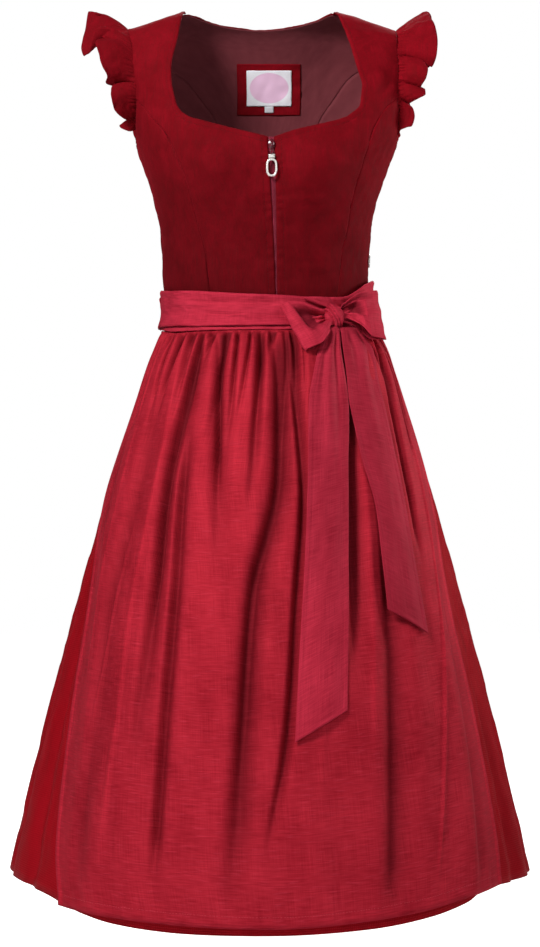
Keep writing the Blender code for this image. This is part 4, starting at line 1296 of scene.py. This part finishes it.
def band(hem_row):
    """The apron's band, under the ties."""
    def lay(s, t, lift):
        angle = BAND_ANGLE * (2 * s - 1)
        foot = BAND_FOOT + band_rise(angle)
        level = between(foot, BAND_TOP, t)
        spread = pair(s * BAND_WIDTH, level)
        out = BAND_OUT + 0.3 * waves(spread, 30, 81) + 0.12 * waves(spread, 8, 82)
        low = level - foot
        flare = BAND_FLARE * ease((80 - np.abs(angle)) / 30)
        out = out + flare * (1 - ease((low - BAND_STITCHES) / 8))
        out = out - 0.6 * bell(low / 1.2) - 0.3 * bell((low - BAND_STITCHES) / 0.8)
        return wrap(angle, level, out + lift), pair(s * BAND_CUT[0], t * BAND_CUT[1])

    made = cloth("apron_band", [(*BAND_GRID, lay)], "ribbon", RIBBON_WALL)
    angles = np.linspace(-BAND_ANGLE + 1, BAND_ANGLE - 1, 300)
    out = np.full(300, BAND_OUT + BAND_FLARE / 2)
    low = wrap(angles, BAND_FOOT + band_rise(angles) + BAND_STITCHES, out)
    stitch_rows("apron_stitching", "apron thread", [hem_row, (low, tree_of(made))])


# Ties and bow

KNOT_ANGLE = 34
KNOT_LEVEL = -408
# angle, top, bottom; the first tie runs round the back and the left side to the knot
FIRST_TIE = Table((
    (88, -366, -412), (130, -364, -410), (180, -362, -408), (230, -361, -409), (270, -361.5, -411.5),
    (300, -366, -414), (322, -369, -417), (345, -373.5, -418), (370, -376, -417.5), (391, -380, -417),
    (399, -382, -416),
))
SECOND_TIE = Table((
    (20, -378, -380.5), (27, -377.5, -388), (34, -377.5, -395), (40, -377, -408), (46, -375, -413),
    (53, -368, -412), (62, -358, -411), (75, -351, -410), (90, -349, -409),
    (130, -357, -407), (180, -363, -410), (230, -366, -412), (272, -369, -413),
))
# step, angle, level, out, width, lean of the cloth's edge from upright
LEFT_LOOP = Table((
    (0, 31.5, -409, 16, 14, -30),
    (1, 27, -411, 20, 28, -33),
    (2, 22, -416, 25, 50, -28),
    (3, 16, -424, 26, 65, -22),
    (4, 11, -427, 19, 66, -18),
    (5, 14, -426, 12.5, 63, -18),
    (6, 20, -419, 12, 50, -18),
    (7, 26, -412, 12, 30, -15),
    (8, 31.5, -409, 12.5, 13, 0),
))
RIGHT_LOOP = Table((
    (0, 37.5, -408, 16, 14, 0),
    (1, 41.5, -401, 18, 21, 0),
    (2, 45.5, -404, 27, 40, 2),
    (3, 50, -410, 33, 64, 13),
    (4, 60.5, -410, 31, 73, 19),
    (5, 57, -405, 16, 68, 17),
    (6, 51, -403, 12.5, 46, 8),
    (7, 45, -405, 12.2, 28, 4),
    (8, 39, -408, 13, 13, 0),
))
LOOP_STEPS = 8
TAIL_CROWN = 2.5
# level where a tail has the painted shade of its foot, and the height over which that changes
TAIL_SHADE_FOOT, TAIL_SHADE_RUN = -840, 200
KNOT_SIZE = (13.2, 8.2, 15.2)
# out at the top and the foot of each tie
FIRST_TIE_OUT, SECOND_TIE_OUT = (5.0, 7.2), (8.0, 10.0)
KNOT_OUT = FIRST_TIE_OUT[1] + KNOT_SIZE[1] + SEAM
# level, left angle, right angle, out
LONG_TAIL = Table((
    (-916, 5.4, 16.9, 23), (-835, 6.7, 18.6, 23.5), (-730, 8.9, 21.2, 24), (-600, 12, 25.3, 24),
    (-516, 14.3, 29.7, 21), (-474, 17.9, 31.1, 18), (-451, 21.1, 31.8, 16), (-424, 28.5, 34.5, 15),
))
SHORT_TAIL = Table((
    (-798, 31.2, 43.3, 23), (-716, 31.9, 43.7, 23.5), (-645, 32.8, 44.7, 24), (-578, 30.7, 45.2, 23),
    (-520, 30.1, 46.4, 21), (-482, 31.6, 47.8, 18), (-450, 32.6, 49.7, 16), (-424, 35, 45.5, 15),
))
# distance along and up in mm of both ends, height, half width
FIRST_TIE_CREASES = (
    (40, 30, 330, 24, -1.6, 2.4),
    (300, 34, 560, 12, -1.8, 2.6),
    (520, 36, 700, 30, -1.4, 2.2),
    (560, 18, 760, 10, -1.6, 2.4),
    (660, 30, 800, 16, 1.4, 3.0),
    (730, 12, 800, 22, -1.8, 2.2),
    (600, 8, 690, 22, 1.0, 3.0),
    (770, 32, 840, 20, -1.6, 2.0),
)
SECOND_TIE_CREASES = (
    (0, 12, 120, 30, -1.6, 2.4),
    (20, 22, 160, 14, -1.5, 2.2),
    (90, 36, 330, 22, -1.5, 2.6),
    (280, 10, 520, 20, -1.4, 2.4),
    (400, 34, 640, 26, -1.4, 2.4),
)
TIE_CUT = 0.066
TIE_ROWS = 26
TIE_WALL = 1.0
# mm of a tie to a degree of the waist
TIE_PER_DEGREE = 2.45
LOOP_GRID, TAIL_GRID = (150, 40), (44, 180)
LOOP_LENGTH, LOOP_WIDTH, LOOP_CUT = 260, 60, 0.26
TAIL_WIDTH = 66
# how much closer each tie lies at the hips: at its foot, its middle and its top
FIRST_HIP_HUG = (2.8, -2.6, 1.2)
SECOND_HIP_HUG = (4.2, 0.0, 1.0)
TIE_HIP_SPREAD = 13


def tie(name, table, first, last, out, creases, columns, hug, seed):
    length = (last - first) * TIE_PER_DEGREE

    def lay(s, t, lift):
        angle = between(first, last, s)
        top, bottom = table.columns(angle)
        level = between(bottom, top, t)
        x, up = s * length, t * (top - bottom)
        spread = pair(x, up * 2.2)
        turned = np.abs((angle + 180) % 360 - 180)
        hip = bell((turned - HIP) / TIE_HIP_SPREAD)
        lean = between(out[1], out[0], t)
        taut = lean - hug[0] * (1 - t) ** 2 - 2 * hug[1] * t * (1 - t) - hug[2] * t ** 2
        shape = between(lean + strokes(x, up, creases), taut, hip)
        shape = shape + (0.5 * waves(spread, 40, seed) + 0.18 * waves(spread, 14, seed + 1)) * (1 - hip)
        rim = inward(t) * (top - bottom)
        shape = shape + 1.0 * bell((rim - 3) / 3.2) - 0.6 * bell(rim / 1.2)
        return wrap(angle, level, shape + lift), pair(s * length * MM, t * TIE_CUT)

    made = cloth(name, [(columns, TIE_ROWS, lay)], "ribbon", TIE_WALL)


def on_strip(table, pleat):
    """Lay a strip that runs out from the knot and back, with pleats that spread from it."""
    def middle(step, across):
        angle, level, out, width, lean = table.columns(step)
        aside, upward = tangents(angle, level)
        lean = np.radians(lean)[..., None]
        edge = upward * np.cos(lean) + aside * np.sin(lean)
        return wrap(angle, level, out + pleat(step, across)) + edge * (width * across / 2)[..., None]

    def place(step, across, out):
        along = middle(step + 0.02, across) - middle(step - 0.02, across)
        sideways = middle(step, across + 0.02) - middle(step, across - 0.02)
        normal = unit(np.cross(along, sideways))
        return middle(step, across) + normal * np.asarray(out)[..., None]

    return place


def from_knot(step):
    return np.minimum(step, LOOP_STEPS - step)


def pleats(rows, hollows):
    """Pleats across a loop: share across, height, half width, last step; and a soft crumple."""
    def pleat(step, across):
        near = from_knot(step)
        total = 0.35 * np.sin(across * 3 * math.pi) * (np.minimum(near, 2) / 2)
        for share, depth, width, rises, ends in hollows:
            there = ease(step / 0.7) * ease((ends - step) / (ends - rises))
            total = total - depth * there * np.exp(-((across - share) / width) ** 4)
        for share, height, width, last in rows:
            fade = ease(near / 0.6) * ease(1 - near / last)
            total = total + height * fade * bell((across - share) / width)
        return total
    return pleat


# share across, depth, half width, step where it starts to rise, step where it ends
LEFT_HOLLOWS = ((0.16, 13, 0.55, 2.5, 3.1),)
RIGHT_HOLLOWS = ((0.25, 14, 0.34, 2.4, 2.9), (0.8, 5, 0.14, 2.8, 3.6))
LEFT_PLEATS = (
    (-0.34, -3.2, 0.10, 2.4), (0.1, -3.4, 0.09, 2.6), (0.5, -3.0, 0.10, 2.3),
    (-0.12, 3.0, 0.10, 2.5), (0.3, 3.0, 0.09, 2.4), (0.86, 3.0, 0.16, 2.8), (-0.8, 1.5, 0.2, 2.6),
)
RIGHT_PLEATS = (
    (-0.5, -2.6, 0.11, 2.6), (-0.16, 2.4, 0.10, 2.4), (0.12, -2.4, 0.09, 2.4),
    (0.4, 2.6, 0.10, 2.4), (-0.85, 2.2, 0.16, 3.0),
)


def loop(name, table, rows, hollows, seed):
    pleat = pleats(rows, hollows)
    place = on_strip(table, pleat)

    def lay(s, t, lift):
        step, across = s * LOOP_STEPS, 2 * t - 1
        spread = pair(s * LOOP_LENGTH, t * LOOP_WIDTH)
        rim = inward(t) * LOOP_WIDTH
        shape = 0.4 * waves(spread, 22, seed) + 0.4 * (1 - ease((rim - 4) / 1.5))
        shape = shape * ease(inward(s) * 8)
        # painted shade in the hollows between the pleats, painted highlight on the pleats' ridges
        painted_shading = np.clip(-pleat(step, across) / 9, -0.2, 1.0) * ease(from_knot(step) / 0.3)
        return place(step, across, shape + lift), pair(s * LOOP_CUT, t * TIE_CUT), painted_shading

    made = cloth(name, [(*LOOP_GRID, lay)], "ribbon", RIBBON_WALL)


# share at the top, share at the foot, height, half width, level where it ends
LONG_TAIL_FOLDS = (
    (0.3, 0.2, -2.4, 0.08, -560),
    (0.52, 0.36, 1.8, 0.10, -620),
    (0.74, 0.7, -2.2, 0.09, -640),
    (0.9, 0.9, 1.4, 0.08, -560),
    (0.14, 0.12, 1.2, 0.08, -500),
)
SHORT_TAIL_FOLDS = (
    (0.34, 0.3, -2.2, 0.09, -540),
    (0.56, 0.55, 1.6, 0.11, -600),
    (0.78, 0.76, -1.8, 0.09, -560),
    (0.18, 0.14, 1.2, 0.09, -500),
)


def tail(name, table, slant, folds, length, painted_shade_ends, seed):
    foot, head = table.keys[0], table.keys[-1]

    def lay(s, t, lift):
        end = foot + np.maximum(slant * s, -slant * (1 - s))
        level = between(end, head, t)
        left, right, out = table.columns(level)
        angle = between(left, right, s)
        wide = (right - left) * apron_share(level)
        shape = out + TAIL_CROWN * np.sin(np.pi * s)
        for top_share, low_share, height, width, last in folds:
            centre = between(top_share, low_share, 1 - t)
            fade = ease((head - level) / 16) * ease((level - last) / 120)
            shape = shape + height * fade * bell((s - centre) / width)
        spread = pair(s * TAIL_WIDTH, head - level)
        large, small = waves(spread * [1, 0.3], 40, seed), waves(spread * [1, 0.4], 16, seed + 1)
        shape = shape + ease((head - level) / 20) * (0.5 * large + 0.1 * small)
        rim = np.minimum(inward(s) * wide, level - end)
        shape = shape + 0.35 * (1 - ease((rim - 4) / 1.5)) - 0.3 * bell((rim - 5) / 0.8)
        # painted shade that changes with height, not with the cloth's folds
        painted_shading = between(painted_shade_ends[1], painted_shade_ends[0], ease((level - TAIL_SHADE_FOOT) / TAIL_SHADE_RUN))
        return wrap(angle, level, shape + lift), pair(s * TIE_CUT, t * length * MM), painted_shading

    made = cloth(name, [(*TAIL_GRID, lay)], "ribbon", RIBBON_WALL)


def seat(angle, level, out):
    """A frame on the figure: X to the right along it, -Y straight out and Z up."""
    aside, upward = (Vector(way) for way in tangents(angle, level))
    outward = aside.cross(upward).normalized()
    matrix = Matrix((aside, -outward, outward.cross(aside))).transposed().to_4x4()
    matrix.translation = Vector(wrap(*(np.array(value, float) for value in (angle, level, out))))
    return matrix


# slope and place of the wraps' edges across the knot, in shares of its size
KNOT_WRAPS = ((-0.72, 0.8), (-0.3, 1.0), (0.04, 1.1), (0.8, 0.7))


def knot():
    """The knot: cloth wound slantwise over a core, each turn rounded and tucked under the next."""
    bm = bmesh.new()
    bmesh.ops.create_uvsphere(bm, u_segments=96, v_segments=64, radius=1)
    for vert in bm.verts:
        x, y, z = vert.co
        slant = x + z * 0.5
        swell = 1.0
        for at, depth in KNOT_WRAPS:
            gap = slant - at
            swell -= 0.24 * depth * math.exp(-(gap / 0.075) ** 2)
            swell += 0.07 * depth * math.exp(-((gap - 0.2) / 0.13) ** 2)
        swell += 0.02 * math.sin(9 * x + 5 * z) + 0.015 * math.sin(14 * z - 6 * x + 1)
        vert.co = Vector([part * swell * half for part, half in zip((x, y, z), KNOT_SIZE)])
    bmesh.ops.transform(bm, matrix=seat(KNOT_ANGLE, KNOT_LEVEL, KNOT_OUT), verts=bm.verts)
    layer = bm.loops.layers.uv.new("cut")
    for face in bm.faces:
        for corner in face.loops:
            place = corner.vert.co
            corner[layer].uv = ((place.x + place.y * 0.5) * MM, place.z * MM)
    solid("bow_knot", bm, "ribbon")


# table, first and last angle, out, creases, columns, hug, seed
TIES = {
    "tie_left": (FIRST_TIE, 88, 398, FIRST_TIE_OUT, FIRST_TIE_CREASES, 340, FIRST_HIP_HUG, 91),
    "tie_right": (SECOND_TIE, 20, 264, SECOND_TIE_OUT, SECOND_TIE_CREASES, 270, SECOND_HIP_HUG, 93),
}
# table, pleats, hollows, seed
LOOPS = {
    "bow_loop_left": (LEFT_LOOP, LEFT_PLEATS, LEFT_HOLLOWS, 95),
    "bow_loop_right": (RIGHT_LOOP, RIGHT_PLEATS, RIGHT_HOLLOWS, 96),
}
# table, slant of the foot, folds, length, painted shade at the top and the foot, seed
TAILS = {
    "tail_long": (LONG_TAIL, 35, LONG_TAIL_FOLDS, 490, (0.3, -0.05), 97),
    "tail_short": (SHORT_TAIL, -31, SHORT_TAIL_FOLDS, 372, (0.35, 0.5), 99),
}


def bow():
    for name, row in TIES.items():
        tie(name, *row)
    knot()
    for name, row in LOOPS.items():
        loop(name, *row)
    for name, row in TAILS.items():
        tail(name, *row)


# Shoulder ruffles

RUFFLE_ROOT = -1.0
RUFFLE_TUCK = -1.4
RUFFLE_START = (1.5, 32)
RUFFLE_PITCH = 4.6
RUFFLE_GRID = (520, 26)
RUFFLE_WALL = 1.1
# share of the armhole from its front end; the free edge's place beside it: out, forward, up
RUFFLE_EDGE = {
    "left": (
        (0.000, 1.5, 0, -7), (0.012, 11, 3, -12), (0.024, 21, 0, -10), (0.034, 14.5, -8, -7.5),
        (0.044, 9, -2, -9.5), (0.060, 17, 8, -11.5), (0.085, 27, 13, -10), (0.110, 30.5, 14, -6.5),
        (0.135, 31.5, 8, -1.5), (0.150, 28.5, -2, 3.5), (0.162, 23, -12, 2.5),
        (0.174, 32.5, -8, -2.5), (0.184, 38.5, 0, -4), (0.196, 35.5, 8, -2.5), (0.220, 40, 15, 0),
        (0.250, 43, 17, 6), (0.280, 46, 14, 10.5), (0.292, 43, 4, 13), (0.306, 34.5, -8, 13.5),
        (0.318, 42, -8, 15.5), (0.332, 37, -3, 22.5), (0.350, 44.5, 5, 12), (0.372, 47, 7, -7.5),
        (0.392, 50.5, 3, -26.5), (0.408, 56.5, -3, -30), (0.425, 60.5, -8, -18.5),
        (0.450, 56.5, -10, 3), (0.480, 53, -14, 28),
    ),
    "right": (
        (0.000, 0, 0, -20.5), (0.012, 3, 2, -16), (0.026, 11.5, 3, -16.5), (0.040, 18.5, 2, -19),
        (0.060, 22.5, 0, -11.5), (0.080, 20, -5, -6), (0.094, 14, -12, -4.5), (0.108, 18.5, -2, -9),
        (0.124, 29, 7, -9.5), (0.138, 35.5, 6, -9), (0.150, 35, -2, -5), (0.162, 28, -8, -9.5),
        (0.176, 29.5, 4, -11.5), (0.200, 35, 13, -9), (0.228, 37, 13, -7), (0.244, 35, 3, -3.5),
        (0.258, 30.5, -10, 2.5), (0.272, 38, -12, -7.5), (0.290, 45, -3, -19.5),
        (0.318, 50.5, 8, -13), (0.352, 52, 12, -5), (0.390, 49.5, 8, 9.5), (0.430, 44.5, 0, 21),
        (0.480, 42, -10, 30.5),
    ),
}
RUFFLE_BOW = {"left": 0.12, "right": 0.06}


def armhole_line(side):
    """The armhole edge from low on the front over the shoulder to low on the back."""
    x, z = STRAP_ROOT[side]
    aside, down = RUFFLE_START
    front_edge, back_edge = front_armhole(side), back_armhole_top(side)
    spots = [spot(x + side_of(side) * aside, z - down)]
    spots += [tuple(front_edge(np.array(i / 8))) for i in range(9)]
    spots += [tuple(back_edge(np.array(i / 4))) for i in (3, 2, 1, 0)]
    spots += [spot(back_x(half, z, side), z, True) for z, half in BACK_ARMHOLE]
    angles, levels = np.array(spots, float).T
    points = wrap(angles, levels, np.full(len(spots), RUFFLE_TUCK))
    lengths = run_along(points)
    table = Table([(length, *point) for length, point in zip(lengths, points)])
    return (lambda t: table.at(t * lengths[-1])), lengths[-1]


def ruffle_edge(side):
    """The free edge: a side's own rows in front and, turned about, the other side's rows behind."""
    other = SIDES[1 - SIDES.index(side)]
    behind = []
    for share, out, forward, up in RUFFLE_EDGE[other]:
        low = 0.5 + 0.42 * float(ease(share / 0.15))
        behind.append((1 - share, out * low, -forward, up * (0.75 if up > 0 else 1)))
    return Table(list(RUFFLE_EDGE[side]) + behind)


def ruffle(side, seed):
    sign = side_of(side)
    root, length = armhole_line(side)
    edge = ruffle_edge(side)

    def middle(s, across):
        outward, forward, up = edge.columns(s)
        way = np.stack((sign * outward, -forward, up), -1)
        reach = np.linalg.norm(way, axis=-1)
        along = unit(root(np.minimum(s + 0.01, 1)) - root(np.maximum(s - 0.01, 0)))
        face = unit(np.cross(way, along))
        turn = TAU * s * length / RUFFLE_PITCH
        uneven = 0.7 + 0.3 * np.sin(turn / 5.3 + seed)
        fine = uneven * bell((across - 0.13) / 0.15) * np.sin(turn + 1.5 * np.sin(turn / 3.7))
        fine = fine + 0.3 * waves(pair(s * length * 2, across * 50), 14, seed) * across
        rise = RUFFLE_BOW[side] * reach * np.sin(math.pi * across)
        bow = np.stack((np.zeros_like(s), -0.5 * np.cos(math.pi * s), np.full_like(s, 0.85)), -1)
        start = root(s) + unit(way) * RUFFLE_ROOT
        return start + way * across[..., None] + face * fine[..., None] + bow * rise[..., None]

    def lay(s, t, lift):
        s0, s1 = np.maximum(s - 0.001, 0), np.minimum(s + 0.001, 1)
        a0, a1 = np.maximum(t - 0.02, 0), np.minimum(t + 0.02, 1)
        normal = unit(np.cross(middle(s1, t) - middle(s0, t), middle(s, a1) - middle(s, a0)))
        shape = 0.6 + 0.35 * bell((t - 1) / 0.05) - 0.3 * bell((t - 0.88) / 0.02) + lift
        places = middle(s, t) + normal * shape[..., None]
        return places, pair(s * length * 2.2 * MM, t * 0.06)

    made = cloth(f"ruffle_{side}", [(*RUFFLE_GRID, lay)], "velvet", RUFFLE_WALL)


# Zip, its pull and the badge

TAPE_WIDTH, TAPE_WALL, TAPE_GRID = 22, 0.8, (30, 120)
SLIDER_LEVEL = -191
SLIDER_OUT = 2.1
SLIDER_SIZE = (8.5, 3.2, 12.5)
PULL_X, PULL_Y = 14.5, -123.0
LOOP_TOP, LOOP_SIZE, LOOP_WIRE = -197.4, (5.0, 1.6, 6.4), 1.5
CLASP_TOP, CLASP_SIZE = -204.2, (8.6, 2.6, 4.6)
# height of the clasp's two halves above its middle, in shares of its own height
CLASP_JAWS = (0.27, -0.24)
PENDANT_TOP, PENDANT_SIZE, PENDANT_WIRE = -209.2, (14.4, 22.8), 3.0
BADGE_ANGLE, BADGE_LEVEL, BADGE_RADIUS, BADGE_WALL, BADGE_GAP = 84, -324, 8.5, 1.6, 0.1
# width and rise of each step of the badge's face, from its rim inwards
BADGE_STEPS = ((0.5, 0.0), (0.9, -0.5), (0.6, 0.15), (4.2, 0.35))
TOOTH_PITCH, TOOTH_SIZE, TOOTH_ASIDE = 1.5, (1.15, 0.5, 0.55), 0.55
# turns a round lying flat to face the front
UPRIGHT = Matrix.Rotation(math.radians(90), 4, "X")


def zip_tape():
    left, right = (zip_edge(side, TAPE_WIDTH / 2) for side in SIDES)
    patch = fill(*(straight(left(end), right(end)) for end in (FOOT, HEAD)), left, right)
    depth = VELVET + 2 * SEAM

    def lay(s, t, lift):
        angle, level = patch(s, t)
        middle = (s - 0.5) * TAPE_WIDTH
        shape = 0.5 * bell(middle / 1.6) - 0.3 * bell(middle / 0.35) + lift - depth
        return wrap(angle, level, shape), pair(s * TAPE_WIDTH * MM, t * 0.207)

    made = cloth("zip_tape", [(*TAPE_GRID, lay)], "tape", TAPE_WALL)
    teeth(depth)


def teeth(depth):
    """The closed coil: two rows of small turns that mesh along the middle."""
    bm = bmesh.new()
    line = Table(ZIP_LINE)
    top, bottom = ZIP_LINE[0][0], ZIP_LINE[-1][0]
    count = int((top - bottom) / TOOTH_PITCH)
    for i in range(count):
        z = top - (i + 0.5) * TOOTH_PITCH
        side = 1 if i % 2 else -1
        angle, level = spot(float(line.read(z)) + side * TOOTH_ASIDE, z)
        matrix = seat(angle, level, 0.5 - depth) @ Matrix.Diagonal((*TOOTH_SIZE, 1))
        bmesh.ops.create_icosphere(bm, subdivisions=1, radius=1, matrix=matrix)
    solid("zip_teeth", bm, "tape", extra=True)


def rounded(bm, size, matrix, round_off, segments=3):
    """Add a block with rounded edges to a bmesh."""
    made = bmesh.ops.create_cube(bm, size=1)
    verts = made["verts"]
    bmesh.ops.scale(bm, vec=size, verts=verts)
    done = bmesh.ops.bevel(bm, geom=edges_of(verts), offset=round_off, segments=segments, profile=0.5,
                           affect="EDGES", material=-1)
    bmesh.ops.transform(bm, matrix=matrix, verts=list(set(done["verts"])))


def zip_slider():
    """A glossy teardrop dome over the slider's body, with the bridge that holds the loop."""
    x = float(Table(ZIP_LINE).read(SLIDER_LEVEL))
    angle = spot(x, SLIDER_LEVEL)[0]
    matrix = seat(angle, SLIDER_LEVEL, SLIDER_OUT)
    wide, deep, tall = SLIDER_SIZE
    bm = bmesh.new()
    made = bmesh.ops.create_uvsphere(bm, u_segments=40, v_segments=24, radius=1)
    for vert in made["verts"]:
        x, y, z = vert.co
        narrow = 1 - 0.34 * max(-z, 0) ** 1.5 - 0.12 * max(z, 0) ** 2
        square = 1 + 0.1 * (1 - abs(z))
        forward = max(y, -1) * deep / 2 * (1 + 0.12 * z)
        vert.co = Vector((x * wide / 2 * narrow * square, forward, z * tall / 2))
    bmesh.ops.transform(bm, matrix=matrix, verts=made["verts"])
    rounded(bm, (wide * 0.86, 0.9, tall * 0.8), matrix @ Matrix.Translation((0, deep * 0.42, 0.4)), 0.35)
    rounded(bm, (2.0, 1.5, tall * 0.62), matrix @ Matrix.Translation((0, -deep * 0.46, -0.6)), 0.6)
    solid("zip_slider", bm, "lacquer")


def wire_ring(bm, width, height, wire, centre, thick, sides, steps, power):
    """An oval ring of wire: a round hoop spun and then stretched."""
    reach = wire / 2
    hoop = 4 * reach
    before = set(bm.verts)
    made = bmesh.ops.create_circle(bm, segments=sides, radius=reach)
    bmesh.ops.transform(bm, matrix=Matrix.Translation((hoop, 0, 0)) @ UPRIGHT, verts=made["verts"])
    bmesh.ops.spin(bm, geom=made["verts"] + edges_of(made["verts"]), cent=(0, 0, 0), axis=(0, 0, 1),
                   angle=TAU, steps=steps, use_merge=True)
    inner = (width / 2 - reach, height / 2 - reach)
    for vert in set(bm.verts) - before:
        flat = Vector((vert.co.x, vert.co.y))
        way = flat.normalized()
        beyond = flat.length - hoop
        size = (abs(way.x) ** power + abs(way.y) ** power) ** (-1 / power)
        vert.co = Vector((
            centre[0] + way.x * (inner[0] * size + beyond),
            centre[1] + vert.co.z * thick,
            centre[2] + way.y * (inner[1] * size + beyond),
        ))


def zip_pull():
    """A loop, a clasp and an oval ring: the loop and the clasp on one body, the ring on another."""
    bm = bmesh.new()
    centre = (PULL_X, PULL_Y, LOOP_TOP - LOOP_SIZE[2] / 2)
    wire_ring(bm, LOOP_SIZE[0], LOOP_SIZE[2], LOOP_WIRE, centre, 1.05, 12, 40, 3.0)
    solid("zip_loop", bm, "lacquer", body="zip_pull")
    bm = bmesh.new()
    wide, deep, tall = CLASP_SIZE
    middle = CLASP_TOP - tall / 2
    for share in CLASP_JAWS:
        place = Matrix.Translation((PULL_X, PULL_Y, middle + share * tall))
        rounded(bm, (wide, deep, tall * 0.44), place, 0.95, 4)
    place = Matrix.Translation((PULL_X, PULL_Y, middle))
    rounded(bm, (wide * 0.5, deep * 0.6, tall * 0.8), place, 0.3)
    solid("zip_clasp", bm, "silver", body="zip_pull")
    bm = bmesh.new()
    width, height = PENDANT_SIZE
    centre = (PULL_X, PULL_Y, PENDANT_TOP - height / 2)
    wire_ring(bm, width, height, PENDANT_WIRE, centre, 0.95, 16, 72, 2.8)
    solid("zip_pendant", bm, "silver", body="zip_ring")


def badge():
    """A plain disc with a raised rim."""
    bm = bmesh.new()
    made = bmesh.ops.create_cone(bm, cap_ends=True, segments=64, radius1=BADGE_RADIUS,
                                 radius2=BADGE_RADIUS, depth=BADGE_WALL)
    caps = [face for face in bm.faces if len(face.verts) > 4]
    face = max(caps, key=lambda f: f.calc_center_median().z)
    for inset, rise in BADGE_STEPS:
        bmesh.ops.inset_individual(bm, faces=[face], thickness=inset, depth=rise)
    bmesh.ops.bevel(bm, geom=[e for e in bm.edges if e.calc_face_angle(0) > 1.2], offset=0.22, segments=2,
                    profile=0.5, affect="EDGES", material=-1)
    place = seat(BADGE_ANGLE, BADGE_LEVEL, BADGE_WALL / 2 + BADGE_GAP)
    bmesh.ops.transform(bm, matrix=place @ UPRIGHT, verts=bm.verts)
    solid("badge", bm, "silver", sharp=40)


# Studio

CAMERA_PLACE = (0.01235, -2.5, -0.599)
VIEW_HEIGHT = 1.2311
SENSOR = 36
FLOOR_LEVEL, FLOOR_RADIUS = -1.30, 6
AMBIENT = 0.085
# name, place, aim, size, power, spread in degrees
LAMPS = (
    ("key", (-1.0, -1.45, 0.8), (0, 0, -0.58), (0.6, 0.5), 41, 180),
    ("fill", (1.3, -2.2, 0.5), (0, 0, -0.5), (0.8, 1.0), 11.5, 180),
    ("side", (1.35, 0.25, -0.2), (0.16, 0, -0.5), (0.4, 0.5), 2.6, 90),
    ("low", (-0.9, -2.6, -0.5), (0, 0, -0.8), (1.2, 1.2), 4, 180),
    ("behind", (0.3, 1.7, 1.1), (0, 0, -0.4), (1.4, 1.0), 30, 180),
)


def lamp(name, place, aim, size, power, spread):
    light = bpy.data.lights.new(name, "AREA")
    light.shape = "RECTANGLE"
    light.size, light.size_y = size
    light.energy = power
    light.spread = math.radians(spread)
    made = add_object(name, light)
    made.location = place
    made.rotation_euler = (Vector(aim) - Vector(place)).to_track_quat("-Z", "Y").to_euler()


def floor():
    bm = bmesh.new()
    bmesh.ops.create_circle(bm, cap_ends=True, segments=96, radius=FLOOR_RADIUS)
    bmesh.ops.translate(bm, vec=(0, 0, FLOOR_LEVEL), verts=bm.verts)
    mesh = mesh_of("floor", bm)
    finish = Finish("floor", Specular_IOR_Level=0.1, Emission_Color=(1, 1, 1, 1))
    seen = finish.tree.nodes.new("ShaderNodeLightPath").outputs["Is Camera Ray"]
    finish.tree.links.new(finish.times(seen, 0.92), finish.shader.inputs["Emission Strength"])
    fine = finish.noise((40, 40, 40), 2)
    mesh.materials.append(finish.done(finish.span(fine, 0.92, 0.94),
                                      finish.span(fine, 0.85, 0.95)))
    made = add_object("floor", mesh)


def studio():
    scene = bpy.context.scene
    scene.view_settings.view_transform = "Standard"
    world = bpy.data.worlds.new("studio")
    world.use_nodes = True
    tree = world.node_tree
    seen = tree.nodes.new("ShaderNodeLightPath").outputs["Is Camera Ray"]
    choice = tree.nodes.new("ShaderNodeMixShader")
    tree.links.new(seen, choice.inputs[0])
    ambient, paper = tree.nodes["Background"], tree.nodes.new("ShaderNodeBackground")
    for i, (node, strength) in enumerate(((ambient, AMBIENT), (paper, 1.0)), 1):
        node.inputs["Color"].default_value = (1, 1, 1, 1)
        node.inputs["Strength"].default_value = strength
        tree.links.new(node.outputs[0], choice.inputs[i])
    tree.links.new(choice.outputs[0], tree.nodes["World Output"].inputs["Surface"])
    scene.world = world
    for row in LAMPS:
        lamp(*row)
    camera = bpy.data.cameras.new("camera")
    camera.sensor_width = SENSOR
    camera.lens = SENSOR * -CAMERA_PLACE[1] / VIEW_HEIGHT
    made = add_object("camera", camera)
    made.location = CAMERA_PLACE
    made.rotation_euler = (math.radians(90), 0, 0)
    scene.camera = made
    floor()


studio()
bodice()
labels()
skirts()
band(apron())
bow()
for seed, side in ((101, "left"), (103, "right")):
    ruffle(side, seed)
zip_tape()
zip_slider()
zip_pull()
badge()
